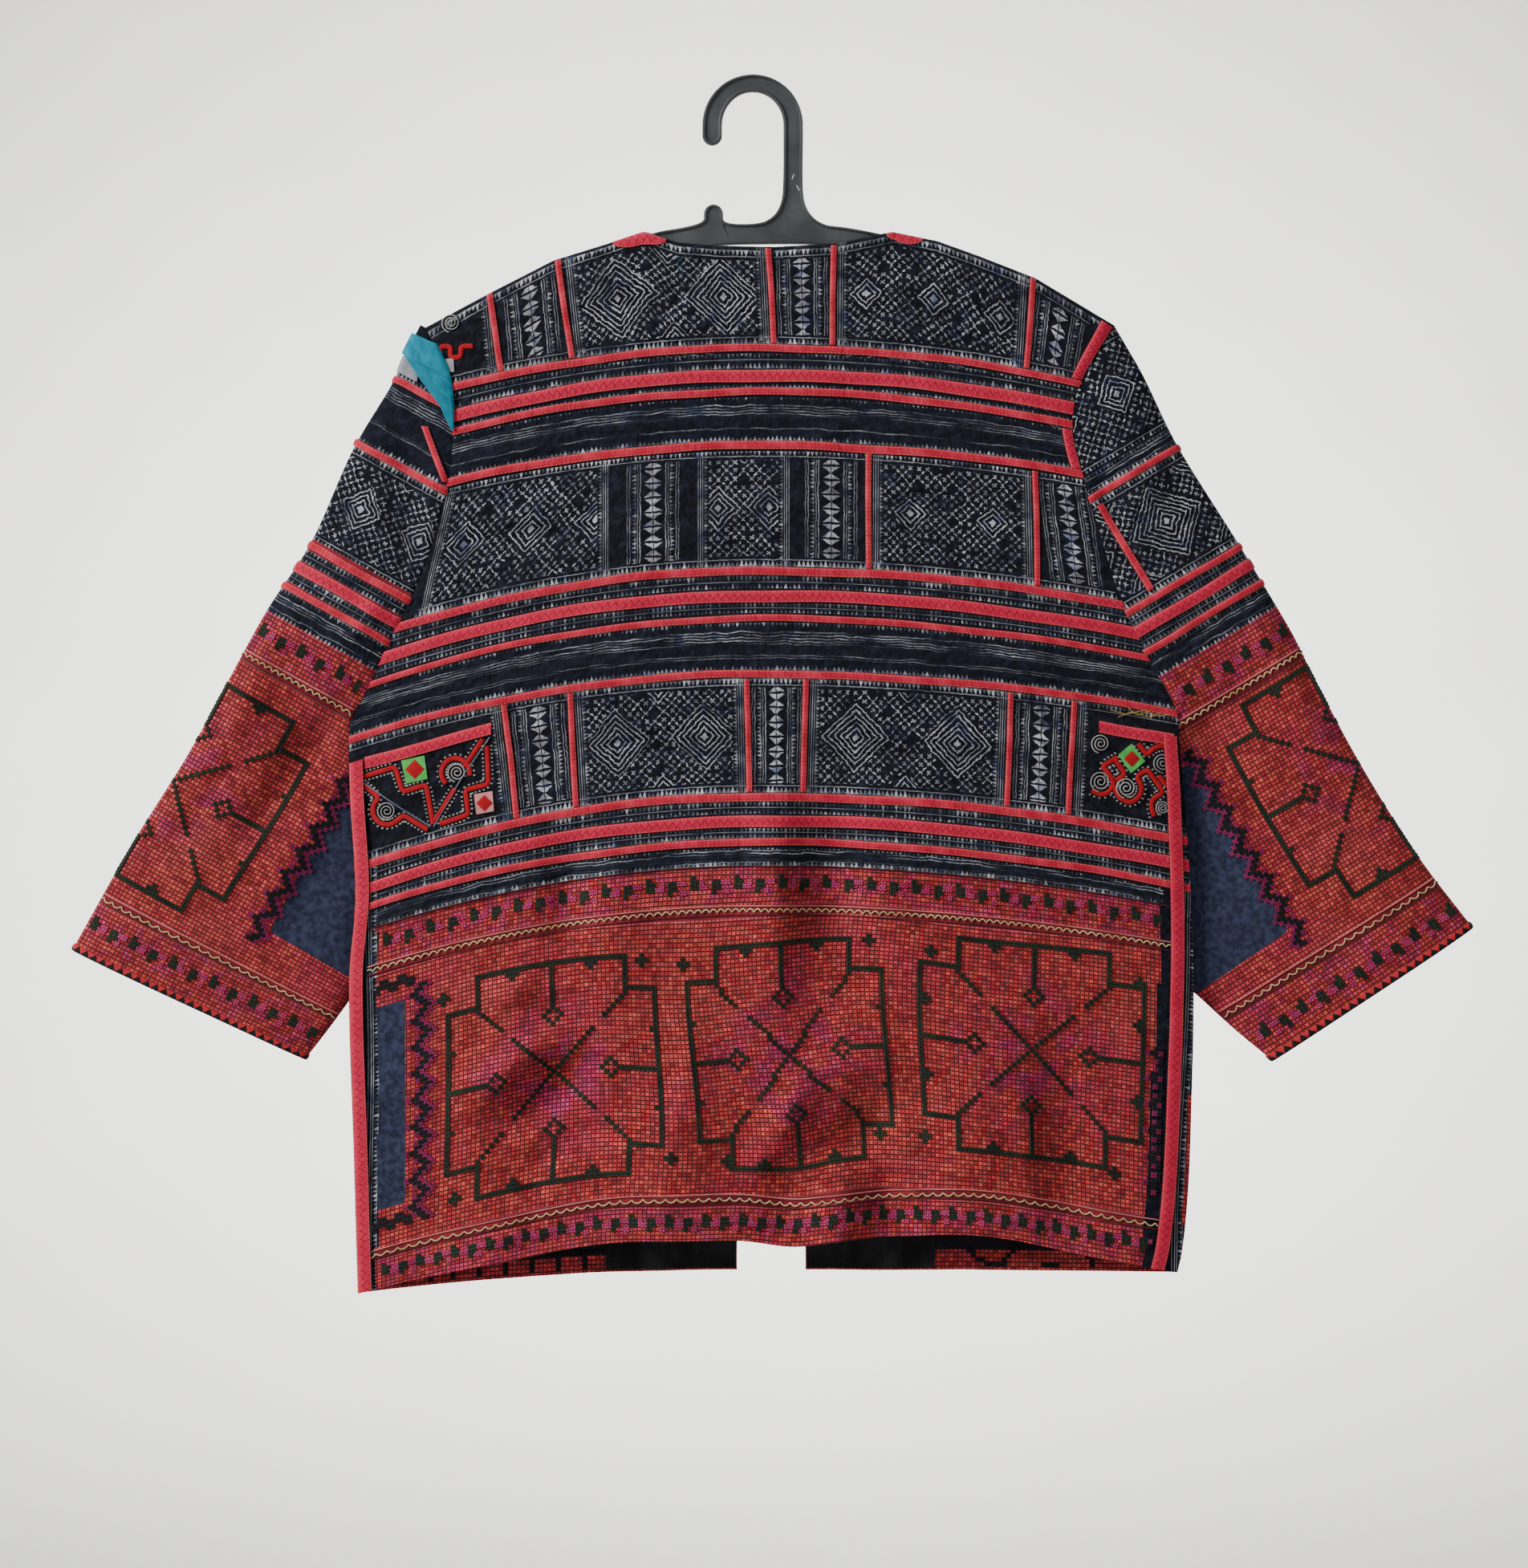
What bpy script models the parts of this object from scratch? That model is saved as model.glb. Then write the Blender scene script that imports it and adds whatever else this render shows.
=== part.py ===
"""Patchwork jacket that hangs flat on a plastic hanger.

The jacket's back faces -Y and its fronts face +Y. +X is the wearer's right, +Z is up. The origin is the inner top of
the hanger's hook, where a rail or a nail carries it. Sizes are in millimetres up to the meshes, which are in metres.
"""

import math
from collections import namedtuple

import bmesh
import bpy
import numpy as np

for old in list(bpy.data.objects):
    bpy.data.objects.remove(old, do_unlink=True)

MM = 0.001

# Cloth
WALL = 1.8
SEAM_GAP = 0.3
RIM_GAP = 0.45
TAPE_GAP = 0.3
TAPE_THICK = 1.0
PATCH_LIFT = 0.8
ARMHOLE_OPEN = 6.5
NECK_CLEAR = 4.4
CENTRE_X = 6.0

# Hanger
HANGER_HALF = 3.5
HOOK_HALF = 3.0
HOOK_INNER = 21.7
HOOK_BAND = 11.7
SHOULDER_TO_ARM = 2.6
ARM_TALL = 12.5

# Back's top edge from the left shoulder tip over the neck to the right one
Top = namedtuple("Top", "x z")
TOP_EDGE = [
    Top(-216.2, -155.8),
    Top(-173.8, -133.0),
    Top(-131.4, -111.3),
    Top(-98.0, -101.0),
    Top(-74.0, -93.0),
    Top(-69.0, -93.6),
    Top(-50.0, -100.2),
    Top(-24.0, -102.4),
    Top(14.0, -103.2),
    Top(56.0, -100.8),
    Top(89.0, -93.8),
    Top(94.0, -93.0),
    Top(122.0, -98.6),
    Top(149.5, -108.5),
    Top(186.6, -123.0),
    Top(238.5, -154.2),
]
NECK_LEFT, NECK_RIGHT = -74.0, 94.0

# Side edges of the body: the armhole curve down to the underarm, then the side seam
Edge = namedtuple("Edge", "z x")
LEFT_EDGE = [
    Edge(-155.8, -216.2),
    Edge(-188.7, -200.3),
    Edge(-228.4, -197.7),
    Edge(-262.9, -201.9),
    Edge(-289.4, -208.3),
    Edge(-326.5, -221.5),
    Edge(-358.3, -237.4),
    Edge(-398.0, -256.0),
    Edge(-411.3, -263.9),
    Edge(-429.3, -266.6),
    Edge(-463.2, -266.1),
    Edge(-531.1, -262.4),
    Edge(-587.8, -266.6),
    Edge(-700.0, -263.5),
    Edge(-793.4, -260.8),
]
RIGHT_EDGE = [
    Edge(-154.2, 238.5),
    Edge(-196.6, 214.7),
    Edge(-220.5, 210.4),
    Edge(-257.6, 218.4),
    Edge(-284.1, 226.3),
    Edge(-334.4, 242.2),
    Edge(-374.2, 260.8),
    Edge(-407.6, 279.3),
    Edge(-430.0, 281.5),
    Edge(-469.6, 285.1),
    Edge(-593.6, 291.0),
    Edge(-638.7, 290.4),
    Edge(-764.3, 283.6),
    Edge(-779.6, 280.3),
]
LEFT_UNDERARM, RIGHT_UNDERARM = -411.3, -407.6

# Tapes across the back, with the height of each one's middle at the centre and at both side edges
Tape = namedtuple("Tape", "centre left right width")
BACK_TAPES = [
    Tape(-170.1, -196.1, -194.0, 5.3),
    Tape(-188.2, -214.7, -208.8, 8.5),
    Tape(-198.8, -225.3, -221.5, 5.3),
    Tape(-234.3, -258.6, -252.8, 5.8),
    Tape(-316.9, -355.1, -339.2, 5.8),
    Tape(-333.4, -373.7, -357.8, 8.0),
    Tape(-348.2, -392.2, -374.7, 4.8),
    Tape(-384.8, -428.2, -410.2, 5.3),
    Tape(-465.3, -513.6, -494.5, 5.8),
    Tape(-481.2, -527.4, -511.5, 8.0),
    Tape(-495.1, -541.1, -526.3, 5.3),
]
# Other lines across the back. seam marks a line that the fronts and the sleeve's rim share.
Line = namedtuple("Line", "centre left right seam")
BACK_LINES = [
    Line(-262.0, -290.0, -283.0, True),
    Line(-290.0, -321.0, -311.0, True),
    Line(-366.5, LEFT_UNDERARM, -391.0, True),
    Line(-425.0, -469.0, -452.0, False),
    Line(-540.0, -585.1, -567.1, True),
    Line(-587.0, -631.0, -612.0, False),
    Line(-635.0, -678.0, -657.0, True),
    Line(-682.0, -725.0, -704.0, False),
    Line(-728.8, -771.7, -750.5, True),
    Line(-756.3, -793.4, -779.6, True),
]
# Which edge of each tape the fronts and sleeves share: upper, lower or none
SHARED_EDGE = ["upper", "upper", "lower", "upper", "upper", "lower", "lower", "upper", "upper", "lower", "none"]
YOKE_LINES = (0.08, 0.45)

# Columns of the back as shares of its width, with a pair on each side of the neck corners
COLUMNS = [0, 0.018, 0.07, 0.13, 0.19, 0.25, 0.3127, 0.3237, 0.40, 0.47, 0.54, 0.61, 0.6719, 0.6829]
COLUMNS += [0.75, 0.81, 0.87, 0.93, 0.982, 1]

# Half of the inner depth at mid width, and how square the hollow is, by height
Hollow = namedtuple("Hollow", "z depth power")
HOLLOW = [
    Hollow(-100.0, 7.0, 0.35),
    Hollow(-172.0, 7.2, 0.38),
    Hollow(-260.0, 9.0, 0.6),
    Hollow(-400.0, 11.0, 0.8),
    Hollow(-600.0, 12.0, 0.8),
    Hollow(-800.0, 11.0, 0.8),
]

# Broad folds of the back: a line from one point to the other, which stands out where rise is over 0
Fold = namedtuple("Fold", "x0 z0 x1 z1 half rise")
BACK_FOLDS = [
    Fold(-206, -708, -110, -592, 20, -4.5),
    Fold(54, -602, 66, -770, 26, 5.5),
    Fold(20, -640, 24, -770, 20, -5.0),
    Fold(-50, -620, -52, -770, 34, 4.5),
    Fold(140, -576, 155, -770, 34, 4.5),
    Fold(206, -620, 214, -770, 24, -4.0),
    Fold(-178, -735, -172, -800, 30, 4.0),
    Fold(-160, -430, 150, -445, 22, -2.5),
    Fold(-120, -275, 130, -285, 24, 2.0),
]
# The back's hem and lower lines lift and dip by these, from FLARE_TOP down
Lobe = namedtuple("Lobe", "x half lift")
HEM_LOBES = [Lobe(150, 62, 9.0), Lobe(26, 24, -5.0), Lobe(-95, 45, 3.0)]
FLARE_TOP = -545.0

# Fronts: the neckline and front edge of each, and the height of its lowest line there
LEFT_FRONT_EDGE = [Edge(-93.0, -74.0), Edge(-120.0, -58.0), Edge(-160.0, -34.0), Edge(-205.0, -15.0)]
LEFT_FRONT_EDGE += [Edge(-240.0, -10.6), Edge(-790.0, -10.6)]
RIGHT_FRONT_EDGE = [Edge(-93.0, 94.0), Edge(-120.0, 80.0), Edge(-160.0, 58.0), Edge(-205.0, 40.0)]
RIGHT_FRONT_EDGE += [Edge(-240.0, 35.0), Edge(-790.0, 35.0)]
FRONT_HEM = -779.6
FRONT_COLUMNS = [0, 0.04, 0.14, 0.27, 0.40, 0.53, 0.656, 0.77, 0.89, 1]
FACING_FROM = 0.65
FACING_FIRST_LINE = 4
NECK_BINDING_LINES = [0.15, 1, 2, 3, 4, 5, 6, 7]
NECK_BINDING_SHARE = 0.3

# Upright tapes between the batik blocks, by band of the back: where each starts and ends across
UPRIGHT_WIDTH = 4.2
Upright = namedtuple("Upright", "band top_x foot_x")
UPRIGHTS = [
    Upright(1, -173.3, -165.4),
    Upright(1, -128.3, -119.3),
    Upright(1, 10.1, 13.8),
    Upright(1, 53.0, 52.5),
    Upright(1, 185.0, 180.2),
    Upright(2, 76.3, 75.8),
    Upright(2, 185.5, 187.1),
    Upright(3, -163.8, -155.3),
    Upright(3, -120.3, -116.1),
    Upright(3, -3.7, -2.1),
    Upright(3, 35.0, 32.9),
    Upright(3, 169.6, 167.0),
    Upright(3, 211.5, 207.8),
]
# Short wide bars over the applique corners: from one place across to another, between two shares of the band
CORNER_BARS = {"corner_bar_left": (-256.0, -172.0), "corner_bar_right": (228.0, 278.0)}
CORNER_BAR_LINES = (0.33, 0.55)
# Red strip beside each side seam, and how far in from the edge it starts and ends
SIDE_BAND_WIDTH = 9.5
SIDE_BAND_INSET = {"left": (0.0, 0.0), "right": (2.0, 13.0)}
# Red binding over each shoulder at the neck corner: from one place across to another, and its lower edge
NECK_CORNERS = {"left": (-94.0, -57.0, 0.3), "right": (94.4, 112.0, 0.15)}
NECK_CORNER_HEAD = 0.02

# Sleeves lie in a plane of their own: along runs down the sleeve from its head, across runs to the underside
Across = namedtuple("Across", "along across")
Under = namedtuple("Under", "along_top along across y")
Ring = namedtuple("Ring", "along width gap")
SLEEVES = {
    "left": {
        "head": (-229.5, -172.8),
        "along": (-0.488, -0.873),
        "across": (0.873, -0.488),
        "outer": [Across(-22, -0.5), Across(0, 0), Across(20, 2), Across(66, 0.7), Across(142, 6.6)]
        + [Across(196, 3), Across(295, 4), Across(370, 0.5), Across(451, 0)],
        "under": [
            Under(240, 242, 91, 7.5),
            Under(262, 262, 124, 10),
            Under(291, 291, 153, 11.5),
            Under(323, 323, 172, 12),
            Under(358, 358, 179, 11),
            Under(388, 387, 176, 9),
            Under(420, 413, 173, 8),
            Under(451, 440, 169, 7),
        ],
        "tapes": [Ring(18, 5, 0.3), Ring(67, 5, 0.8), Ring(141, 5.3, 0.3), Ring(157.5, 8, 0.3)]
        + [Ring(172, 5, 0.3)],
    },
    "right": {
        "head": (252.8, -178.1),
        "along": (0.512, -0.859),
        "across": (-0.859, -0.512),
        "outer": [Across(-30, 0), Across(0, 0), Across(65, 4.8), Across(140, 3.2), Across(202, 3)]
        + [Across(243, 6), Across(310, 8.6), Across(379, 6.6), Across(435, 0)],
        "under": [
            Under(229, 230, 100.6, 6),
            Under(253, 253, 129, 10),
            Under(283, 283, 157, 11.5),
            Under(317, 317, 182, 12),
            Under(348, 348, 190, 11),
            Under(377, 380, 179, 9),
            Under(407, 413, 169, 8),
            Under(435, 444, 158, 7),
        ],
        "tapes": [Ring(63, 5, 0.3), Ring(140, 5, 0.3), Ring(153.7, 8, 0.3), Ring(168, 5, 0.3)],
    },
}
# Shares across a sleeve from its outer fold to its seam or underside
SHARES = [0, 0.03, 0.12, 0.28, 0.50, 0.72, 0.88, 0.97, 1]
SLEEVE_HEAD_WIDE, SLEEVE_HEAD_DROP = 5.0, 4.0
Puff = namedtuple("Puff", "along depth outer_y")
SLEEVE_PUFF = [Puff(-30, 0.5, 0), Puff(60, 2.0, -1), Puff(225, 5.0, -2), Puff(262, 7.0, -2), Puff(450, 7.5, 0)]
# The cloth is pinched in beside each armhole, in a trough along a line in x and z
Pinch = namedtuple("Pinch", "x0 z0 x1 z1 half depth")
PINCHES = [Pinch(-226, -190, -228, -330, 14, 3.5), Pinch(227, -236, 236, -310, 12, 3.0)]
CUFF_BINDING = 5.0
# Teal patch: its column beside the armhole, and its outer column at shares of its length
TEAL_FIRST = 0.15
TEAL_SHARES, TEAL_LAST = [0, 0.34, 0.6, 0.77, 1], [7.6, 7.6, 4.0, 2.5, 0.6]


def smooth(rows, key, value, at):
    """A smooth curve through a table, read at one place or many."""
    rows = sorted(rows, key=key)
    x = np.array([key(r) for r in rows], float)
    y = np.array([value(r) for r in rows], float)
    slope = np.diff(y) / np.diff(x)
    tangent = np.concatenate([[slope[0]], (slope[1:] + slope[:-1]) / 2, [slope[-1]]])
    turn = slope[1:] * slope[:-1] <= 0
    tangent[1:-1][turn] *= 0.3
    at = np.clip(np.asarray(at, float), x[0], x[-1])
    i = np.clip(np.searchsorted(x, at) - 1, 0, len(x) - 2)
    h = x[i + 1] - x[i]
    t = (at - x[i]) / h
    return (
        y[i] * (1 + 2 * t) * (1 - t) ** 2
        + tangent[i] * h * t * (1 - t) ** 2
        + y[i + 1] * t * t * (3 - 2 * t)
        - tangent[i + 1] * h * t * t * (1 - t)
    )


def straight(rows, key, value, at):
    rows = sorted(rows, key=key)
    return np.interp(at, [key(r) for r in rows], [value(r) for r in rows])


def along_segment(x, z, piece):
    """Share along a fold's line and distance from it."""
    dx, dz = piece.x1 - piece.x0, piece.z1 - piece.z0
    length = math.hypot(dx, dz)
    share = ((x - piece.x0) * dx + (z - piece.z0) * dz) / length**2
    near = min(max(share, 0.0), 1.0)
    away = math.hypot(x - piece.x0 - near * dx, z - piece.z0 - near * dz)
    return share, away


# Lines of the body

Row = namedtuple("Row", "centre left right seam name")


def body_rows():
    """Every line across the back in order, from the first tape's upper edge down."""
    rows = []
    for number, (tape, shared) in enumerate(zip(BACK_TAPES, SHARED_EDGE), 1):
        for part, way in (("upper", 0.5), ("lower", -0.5)):
            up = way * tape.width
            name = f"tape_{number}_{part}"
            rows.append(Row(tape.centre + up, tape.left + up, tape.right + up, shared == part, name))
    for line in BACK_LINES:
        rows.append(Row(line.centre, line.left, line.right, line.seam, "line"))
    return sorted(rows, key=lambda r: -r.centre)


ROWS = body_rows()
FIRST = ROWS[0]
LEFT_TIP, RIGHT_TIP = TOP_EDGE[0], TOP_EDGE[-1]


def yoke_end(share, side):
    tip = LEFT_TIP.z if side == "left" else RIGHT_TIP.z
    end = FIRST.left if side == "left" else FIRST.right
    return tip + (end - tip) * share


def row_ends(side):
    """(height at the side edge, shared) of every line, from the shoulder tip down."""
    ends = [(yoke_end(f, side), True) for f in (0.0,) + YOKE_LINES]
    for row in ROWS:
        ends.append((getattr(row, side), row.seam))
    return ends


def edge_polyline(side):
    """The side edge as straight stretches between the shared lines' ends."""
    table = LEFT_EDGE if side == "left" else RIGHT_EDGE
    underarm = LEFT_UNDERARM if side == "left" else RIGHT_UNDERARM
    corners = []
    for z, shared in row_ends(side):
        if shared or z < underarm - 1:
            corners.append(Edge(z, float(smooth(table, lambda e: e.z, lambda e: e.x, z))))
    return corners


POLYLINE = {side: edge_polyline(side) for side in ("left", "right")}


def edge_x(side, z):
    return float(straight(POLYLINE[side], lambda e: e.z, lambda e: e.x, z))


def armhole_depth(side, z):
    """Half of the inner depth at the body's side edge: open at the armhole, shut at the side seam."""
    tip = LEFT_TIP.z if side == "left" else RIGHT_TIP.z
    underarm = LEFT_UNDERARM if side == "left" else RIGHT_UNDERARM
    share = min(max((tip - z) / (tip - underarm), 0.0), 1.0)
    return SEAM_GAP / 2 + ARMHOLE_OPEN * math.sin(math.pi * share) ** 0.8


def hollow_depth(u, z):
    left, right = armhole_depth("left", z), armhole_depth("right", z)
    side = left + (right - left) * u
    depth = straight(HOLLOW, lambda h: h.z, lambda h: h.depth, z)
    power = straight(HOLLOW, lambda h: h.z, lambda h: h.power, z)
    lens = max(4 * u * (1 - u), 0.0) ** power
    return float(side + (depth - side) * lens)


def top_z(x):
    return float(straight(TOP_EDGE, lambda t: t.x, lambda t: t.z, x))


def arch(row, x, left_x, right_x):
    """Height of a line across the body: a parabola on each side of the centre, with the hem's lobes lower down."""
    if x < CENTRE_X:
        z = row.centre + (row.left - row.centre) * ((CENTRE_X - x) / (CENTRE_X - left_x)) ** 2
    else:
        z = row.centre + (row.right - row.centre) * ((x - CENTRE_X) / (right_x - CENTRE_X)) ** 2
    low = min(max((FLARE_TOP - row.centre) / (FLARE_TOP - ROWS[-1].centre), 0.0), 1.0)
    for lobe in HEM_LOBES:
        z += low * lobe.lift * math.exp(-(((x - lobe.x) / lobe.half) ** 2))
    return z


def relief(x, z, u):
    """How far the back's folds stand out at a point, fading to nothing at its edges."""
    rise = 0.0
    for fold in BACK_FOLDS:
        share, away = along_segment(x, z, fold)
        ends = min(max(1.25 - abs(share - 0.5) * 2, 0.0), 1.0)
        rise += fold.rise * ends * math.exp(-((away / fold.half) ** 2))
    return rise * min(1.0, 8 * u * (1 - u))


def back_point(u, index):
    """Inner face of the back at share u of line number index, counted from the top edge."""
    if index < 1 + len(YOKE_LINES):
        share = ((0.0,) + YOKE_LINES)[index]
        z_left, z_right = yoke_end(share, "left"), yoke_end(share, "right")
        left_x, right_x = edge_x("left", z_left), edge_x("right", z_right)
        x = left_x + (right_x - left_x) * u
        top_x = LEFT_TIP.x + (RIGHT_TIP.x - LEFT_TIP.x) * u
        first_left, first_right = edge_x("left", FIRST.left), edge_x("right", FIRST.right)
        first_x = first_left + (first_right - first_left) * u
        z = top_z(top_x) * (1 - share) + arch(FIRST, first_x, first_left, first_right) * share
        if index == 0:
            neck = NECK_LEFT + 1 < top_x < NECK_RIGHT - 1
            return x, z, -(NECK_CLEAR if neck else SEAM_GAP / 2)
    else:
        row = ROWS[index - 1 - len(YOKE_LINES)]
        left_x, right_x = edge_x("left", row.left), edge_x("right", row.right)
        x = left_x + (right_x - left_x) * u
        z = arch(row, x, left_x, right_x)
    return x, z, -(hollow_depth(u, z) + relief(x, z, u))


BACK_COUNT = 1 + len(YOKE_LINES) + len(ROWS)


def row_number(name):
    for number, row in enumerate(ROWS):
        if row.name == name:
            return number + 1 + len(YOKE_LINES)
    raise ValueError(name)


class Sheet:
    """A wall on a grid of lines and columns: an inner and an outer point at each crossing."""

    def __init__(self, inner, outer):
        self.inner = np.array(inner, float)
        self.outer = np.array(outer, float)

    def at(self, line, column, out):
        """The outer face at fractional places on the grid, moved out of it by out."""
        i = min(int(line), self.outer.shape[0] - 2)
        j = min(int(column), self.outer.shape[1] - 2)
        s, t = line - i, column - j
        way = self.outer - self.inner
        point = np.zeros(3)
        off = np.zeros(3)
        for di, wi in ((0, 1 - s), (1, s)):
            for dj, wj in ((0, 1 - t), (1, t)):
                point += wi * wj * self.outer[i + di, j + dj]
                off += wi * wj * way[i + di, j + dj]
        return point + off / np.linalg.norm(off) * out


def grid_cells(lines, columns, start=0):
    cells = []
    for i in range(lines - 1):
        for j in range(columns - 1):
            a = start + i * columns + j
            cells.append((a, a + 1, a + 1 + columns, a + columns))
    return cells


def wall_object(name, outer, inner, cells, colour, roughness):
    """One closed wall between two faces with the same cells."""
    outer, inner = np.asarray(outer, float), np.asarray(inner, float)
    count = len(outer)
    faces = []
    edges = {}
    for cell in cells:
        corners = [c for k, c in enumerate(cell) if c != cell[k - 1]]
        for k in range(1, len(corners) - 1):
            faces.append((corners[0], corners[k], corners[k + 1]))
            faces.append((corners[k + 1] + count, corners[k] + count, corners[0] + count))
        for k, a in enumerate(corners):
            b = corners[(k + 1) % len(corners)]
            edges[(a, b)] = True
    for a, b in edges:
        if (b, a) not in edges:
            faces.append((b, a, a + count))
            faces.append((b, a + count, b + count))
    points = np.vstack([outer, inner]) * MM
    used = sorted({v for face in faces for v in face})
    place = {v: k for k, v in enumerate(used)}
    faces = [tuple(place[v] for v in face) for face in faces]
    points = points[used]
    corner = points[np.array(faces)]
    volume = np.einsum("ij,ij->i", corner[:, 0], np.cross(corner[:, 1], corner[:, 2])).sum()
    if volume < 0:
        faces = [face[::-1] for face in faces]
    return finish(name, points, faces, colour, roughness)


def finish(name, points, faces, colour, roughness):
    mesh = bpy.data.meshes.new(name)
    mesh.from_pydata([tuple(p) for p in points], [], faces)
    mesh.update()
    piece = bpy.data.objects.new(name, mesh)
    bpy.context.scene.collection.objects.link(piece)
    material = bpy.data.materials.new(name)
    material.use_nodes = True
    shader = material.node_tree.nodes["Principled BSDF"]
    shader.inputs["Base Color"].default_value = (*colour, 1)
    shader.inputs["Roughness"].default_value = roughness
    shader.inputs["Metallic"].default_value = 0.0
    mesh.materials.append(material)
    return piece


# Colours, linear
RED = (0.58, 0.035, 0.035)
BATIK = (0.018, 0.022, 0.04)
STITCHED = (0.42, 0.04, 0.035)
FACING = (0.016, 0.016, 0.018)
TEAL = (0.012, 0.24, 0.3)
GREY = (0.3, 0.31, 0.33)
PLASTIC = (0.04, 0.045, 0.05)


def lay_on(name, sheet, lines, columns, colour, low=TAPE_GAP, thick=TAPE_THICK):
    """A strip or patch on a sheet: its own grid of (line, column) places, moved out from the sheet."""
    outer, inner = [], []
    for line_row in zip(lines, columns):
        for line, column in zip(*line_row):
            inner.append(sheet.at(line, column, low))
            outer.append(sheet.at(line, column, low + thick))
    cells = grid_cells(len(lines), len(lines[0]))
    return wall_object(name, outer, inner, cells, colour, 0.8)


# Back

back_inner = [[back_point(u, i) for u in COLUMNS] for i in range(BACK_COUNT)]
back_inner = [[(x, y, z) for x, z, y in line] for line in back_inner]
back_outer = [[(x, y - WALL, z) for x, y, z in line] for line in back_inner]
BACK = Sheet(back_inner, back_outer)
wall_object(
    "back",
    BACK.outer.reshape(-1, 3),
    BACK.inner.reshape(-1, 3),
    grid_cells(BACK_COUNT, len(COLUMNS)),
    BATIK,
    0.85,
)

LAST_COLUMN = len(COLUMNS) - 1
for number in range(1, len(BACK_TAPES) + 1):
    upper, lower = row_number(f"tape_{number}_upper"), row_number(f"tape_{number}_lower")
    across = list(range(len(COLUMNS)))
    lay_on(f"back_tape_{number}", BACK, [[upper] * len(across), [lower] * len(across)], [across, across], RED)


def column_at(x, line):
    """The fractional column of the back where a line passes x."""
    i = min(int(line), BACK_COUNT - 2)
    xs = BACK.outer[i, :, 0] * (1 - line + i) + BACK.outer[i + 1, :, 0] * (line - i)
    return float(np.interp(x, xs, range(len(xs))))


def line_before(line, gap, step):
    """A fractional line gap millimetres past a line, down where step is 1 and up where it is -1."""
    middle = len(COLUMNS) // 2
    near = BACK.outer[line, middle]
    far = BACK.outer[line + step, middle]
    return line + step * gap / float(np.linalg.norm(far - near))


BUTT_GAP = 0.5
BANDS = {
    1: (0.02, line_before(row_number("tape_1_upper"), BUTT_GAP, -1)),
    2: (
        line_before(row_number("tape_4_lower"), BUTT_GAP, 1),
        line_before(row_number("tape_5_upper"), BUTT_GAP, -1),
    ),
    3: (
        line_before(row_number("tape_8_lower"), BUTT_GAP, 1),
        line_before(row_number("tape_9_upper"), BUTT_GAP, -1),
    ),
}


def lines_between(start, end):
    inside = [k for k in range(BACK_COUNT) if start + 0.1 < k < end - 0.1]
    return [start] + inside + [end]


counts = {1: 0, 2: 0, 3: 0}
for tape in UPRIGHTS:
    start, end = BANDS[tape.band]
    counts[tape.band] += 1
    lines, columns = [], []
    stretch = lines_between(start, end)
    for line in stretch:
        share = (line - start) / (end - start)
        x = tape.top_x + (tape.foot_x - tape.top_x) * share
        sides = (x - UPRIGHT_WIDTH / 2, x + UPRIGHT_WIDTH / 2)
        lines.append([line, line])
        columns.append([column_at(side, line) for side in sides])
    lay_on(f"upright_{tape.band}_{counts[tape.band]}", BACK, lines, columns, RED)


def columns_between(x0, x1, line):
    """Columns of the back from one place across to another, at a line."""
    first, last = column_at(x0, line), column_at(x1, line)
    return [first] + [j for j in range(len(COLUMNS)) if first + 0.1 < j < last - 0.1] + [last]


# The short wide bars over the applique corners, in band 3
BAND_3 = row_number("tape_8_lower")
for name, (x0, x1) in CORNER_BARS.items():
    across = columns_between(x0, x1, BAND_3 + 0.5)
    lines = [[BAND_3 + share] * len(across) for share in CORNER_BAR_LINES]
    lay_on(name, BACK, lines, [across, across], RED)

# Red tapes along the upper right armhole, and the red strip beside each side seam
armhole_stretches = {
    "armhole_tape_1": (0.1, line_before(row_number("tape_1_upper"), BUTT_GAP, -1)),
    "armhole_tape_2": (
        line_before(row_number("tape_3_lower"), BUTT_GAP, 1),
        line_before(row_number("tape_4_upper"), BUTT_GAP, -1),
    ),
}
for name, (start, end) in armhole_stretches.items():
    stretch = lines_between(start, end)
    columns = [[LAST_COLUMN - 1, LAST_COLUMN] for _ in stretch]
    lay_on(name, BACK, [[k, k] for k in stretch], columns, RED)

# The strip lies over the tapes' ends, clear of them
BAND_LIFT = TAPE_GAP * 2 + TAPE_THICK
for side, sign in (("left", 1), ("right", -1)):
    stretch = lines_between(BAND_3 - 1.5, BACK_COUNT - 1)
    lines, columns = [], []
    for line in stretch:
        share = (line - stretch[0]) / (stretch[-1] - stretch[0])
        start_inset, end_inset = SIDE_BAND_INSET[side]
        inset = start_inset + (end_inset - start_inset) * share
        i = min(int(line), BACK_COUNT - 2)
        pair = BACK.outer[i : i + 2, 0 if side == "left" else -1, 0]
        edge = pair[0] + (pair[1] - pair[0]) * (line - i)
        near, far = edge + sign * inset, edge + sign * (inset + SIDE_BAND_WIDTH)
        ends = sorted((near, far))
        lines.append([line, line])
        columns.append([column_at(ends[0], line), column_at(ends[1], line)])
    lay_on(f"side_band_{side}", BACK, lines, columns, RED, low=BAND_LIFT)

# Fronts


def front_edge_x(side, z):
    table = LEFT_FRONT_EDGE if side == "left" else RIGHT_FRONT_EDGE
    return float(straight(table, lambda e: e.z, lambda e: e.x, z))


def front_lines(side):
    """(height at the side edge, share of the yoke or None) of each line of a front."""
    lines = [(yoke_end(f, side), f) for f in (0.0,) + YOKE_LINES]
    for row in ROWS:
        if row.seam:
            lines.append((getattr(row, side), None))
    return lines


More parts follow.
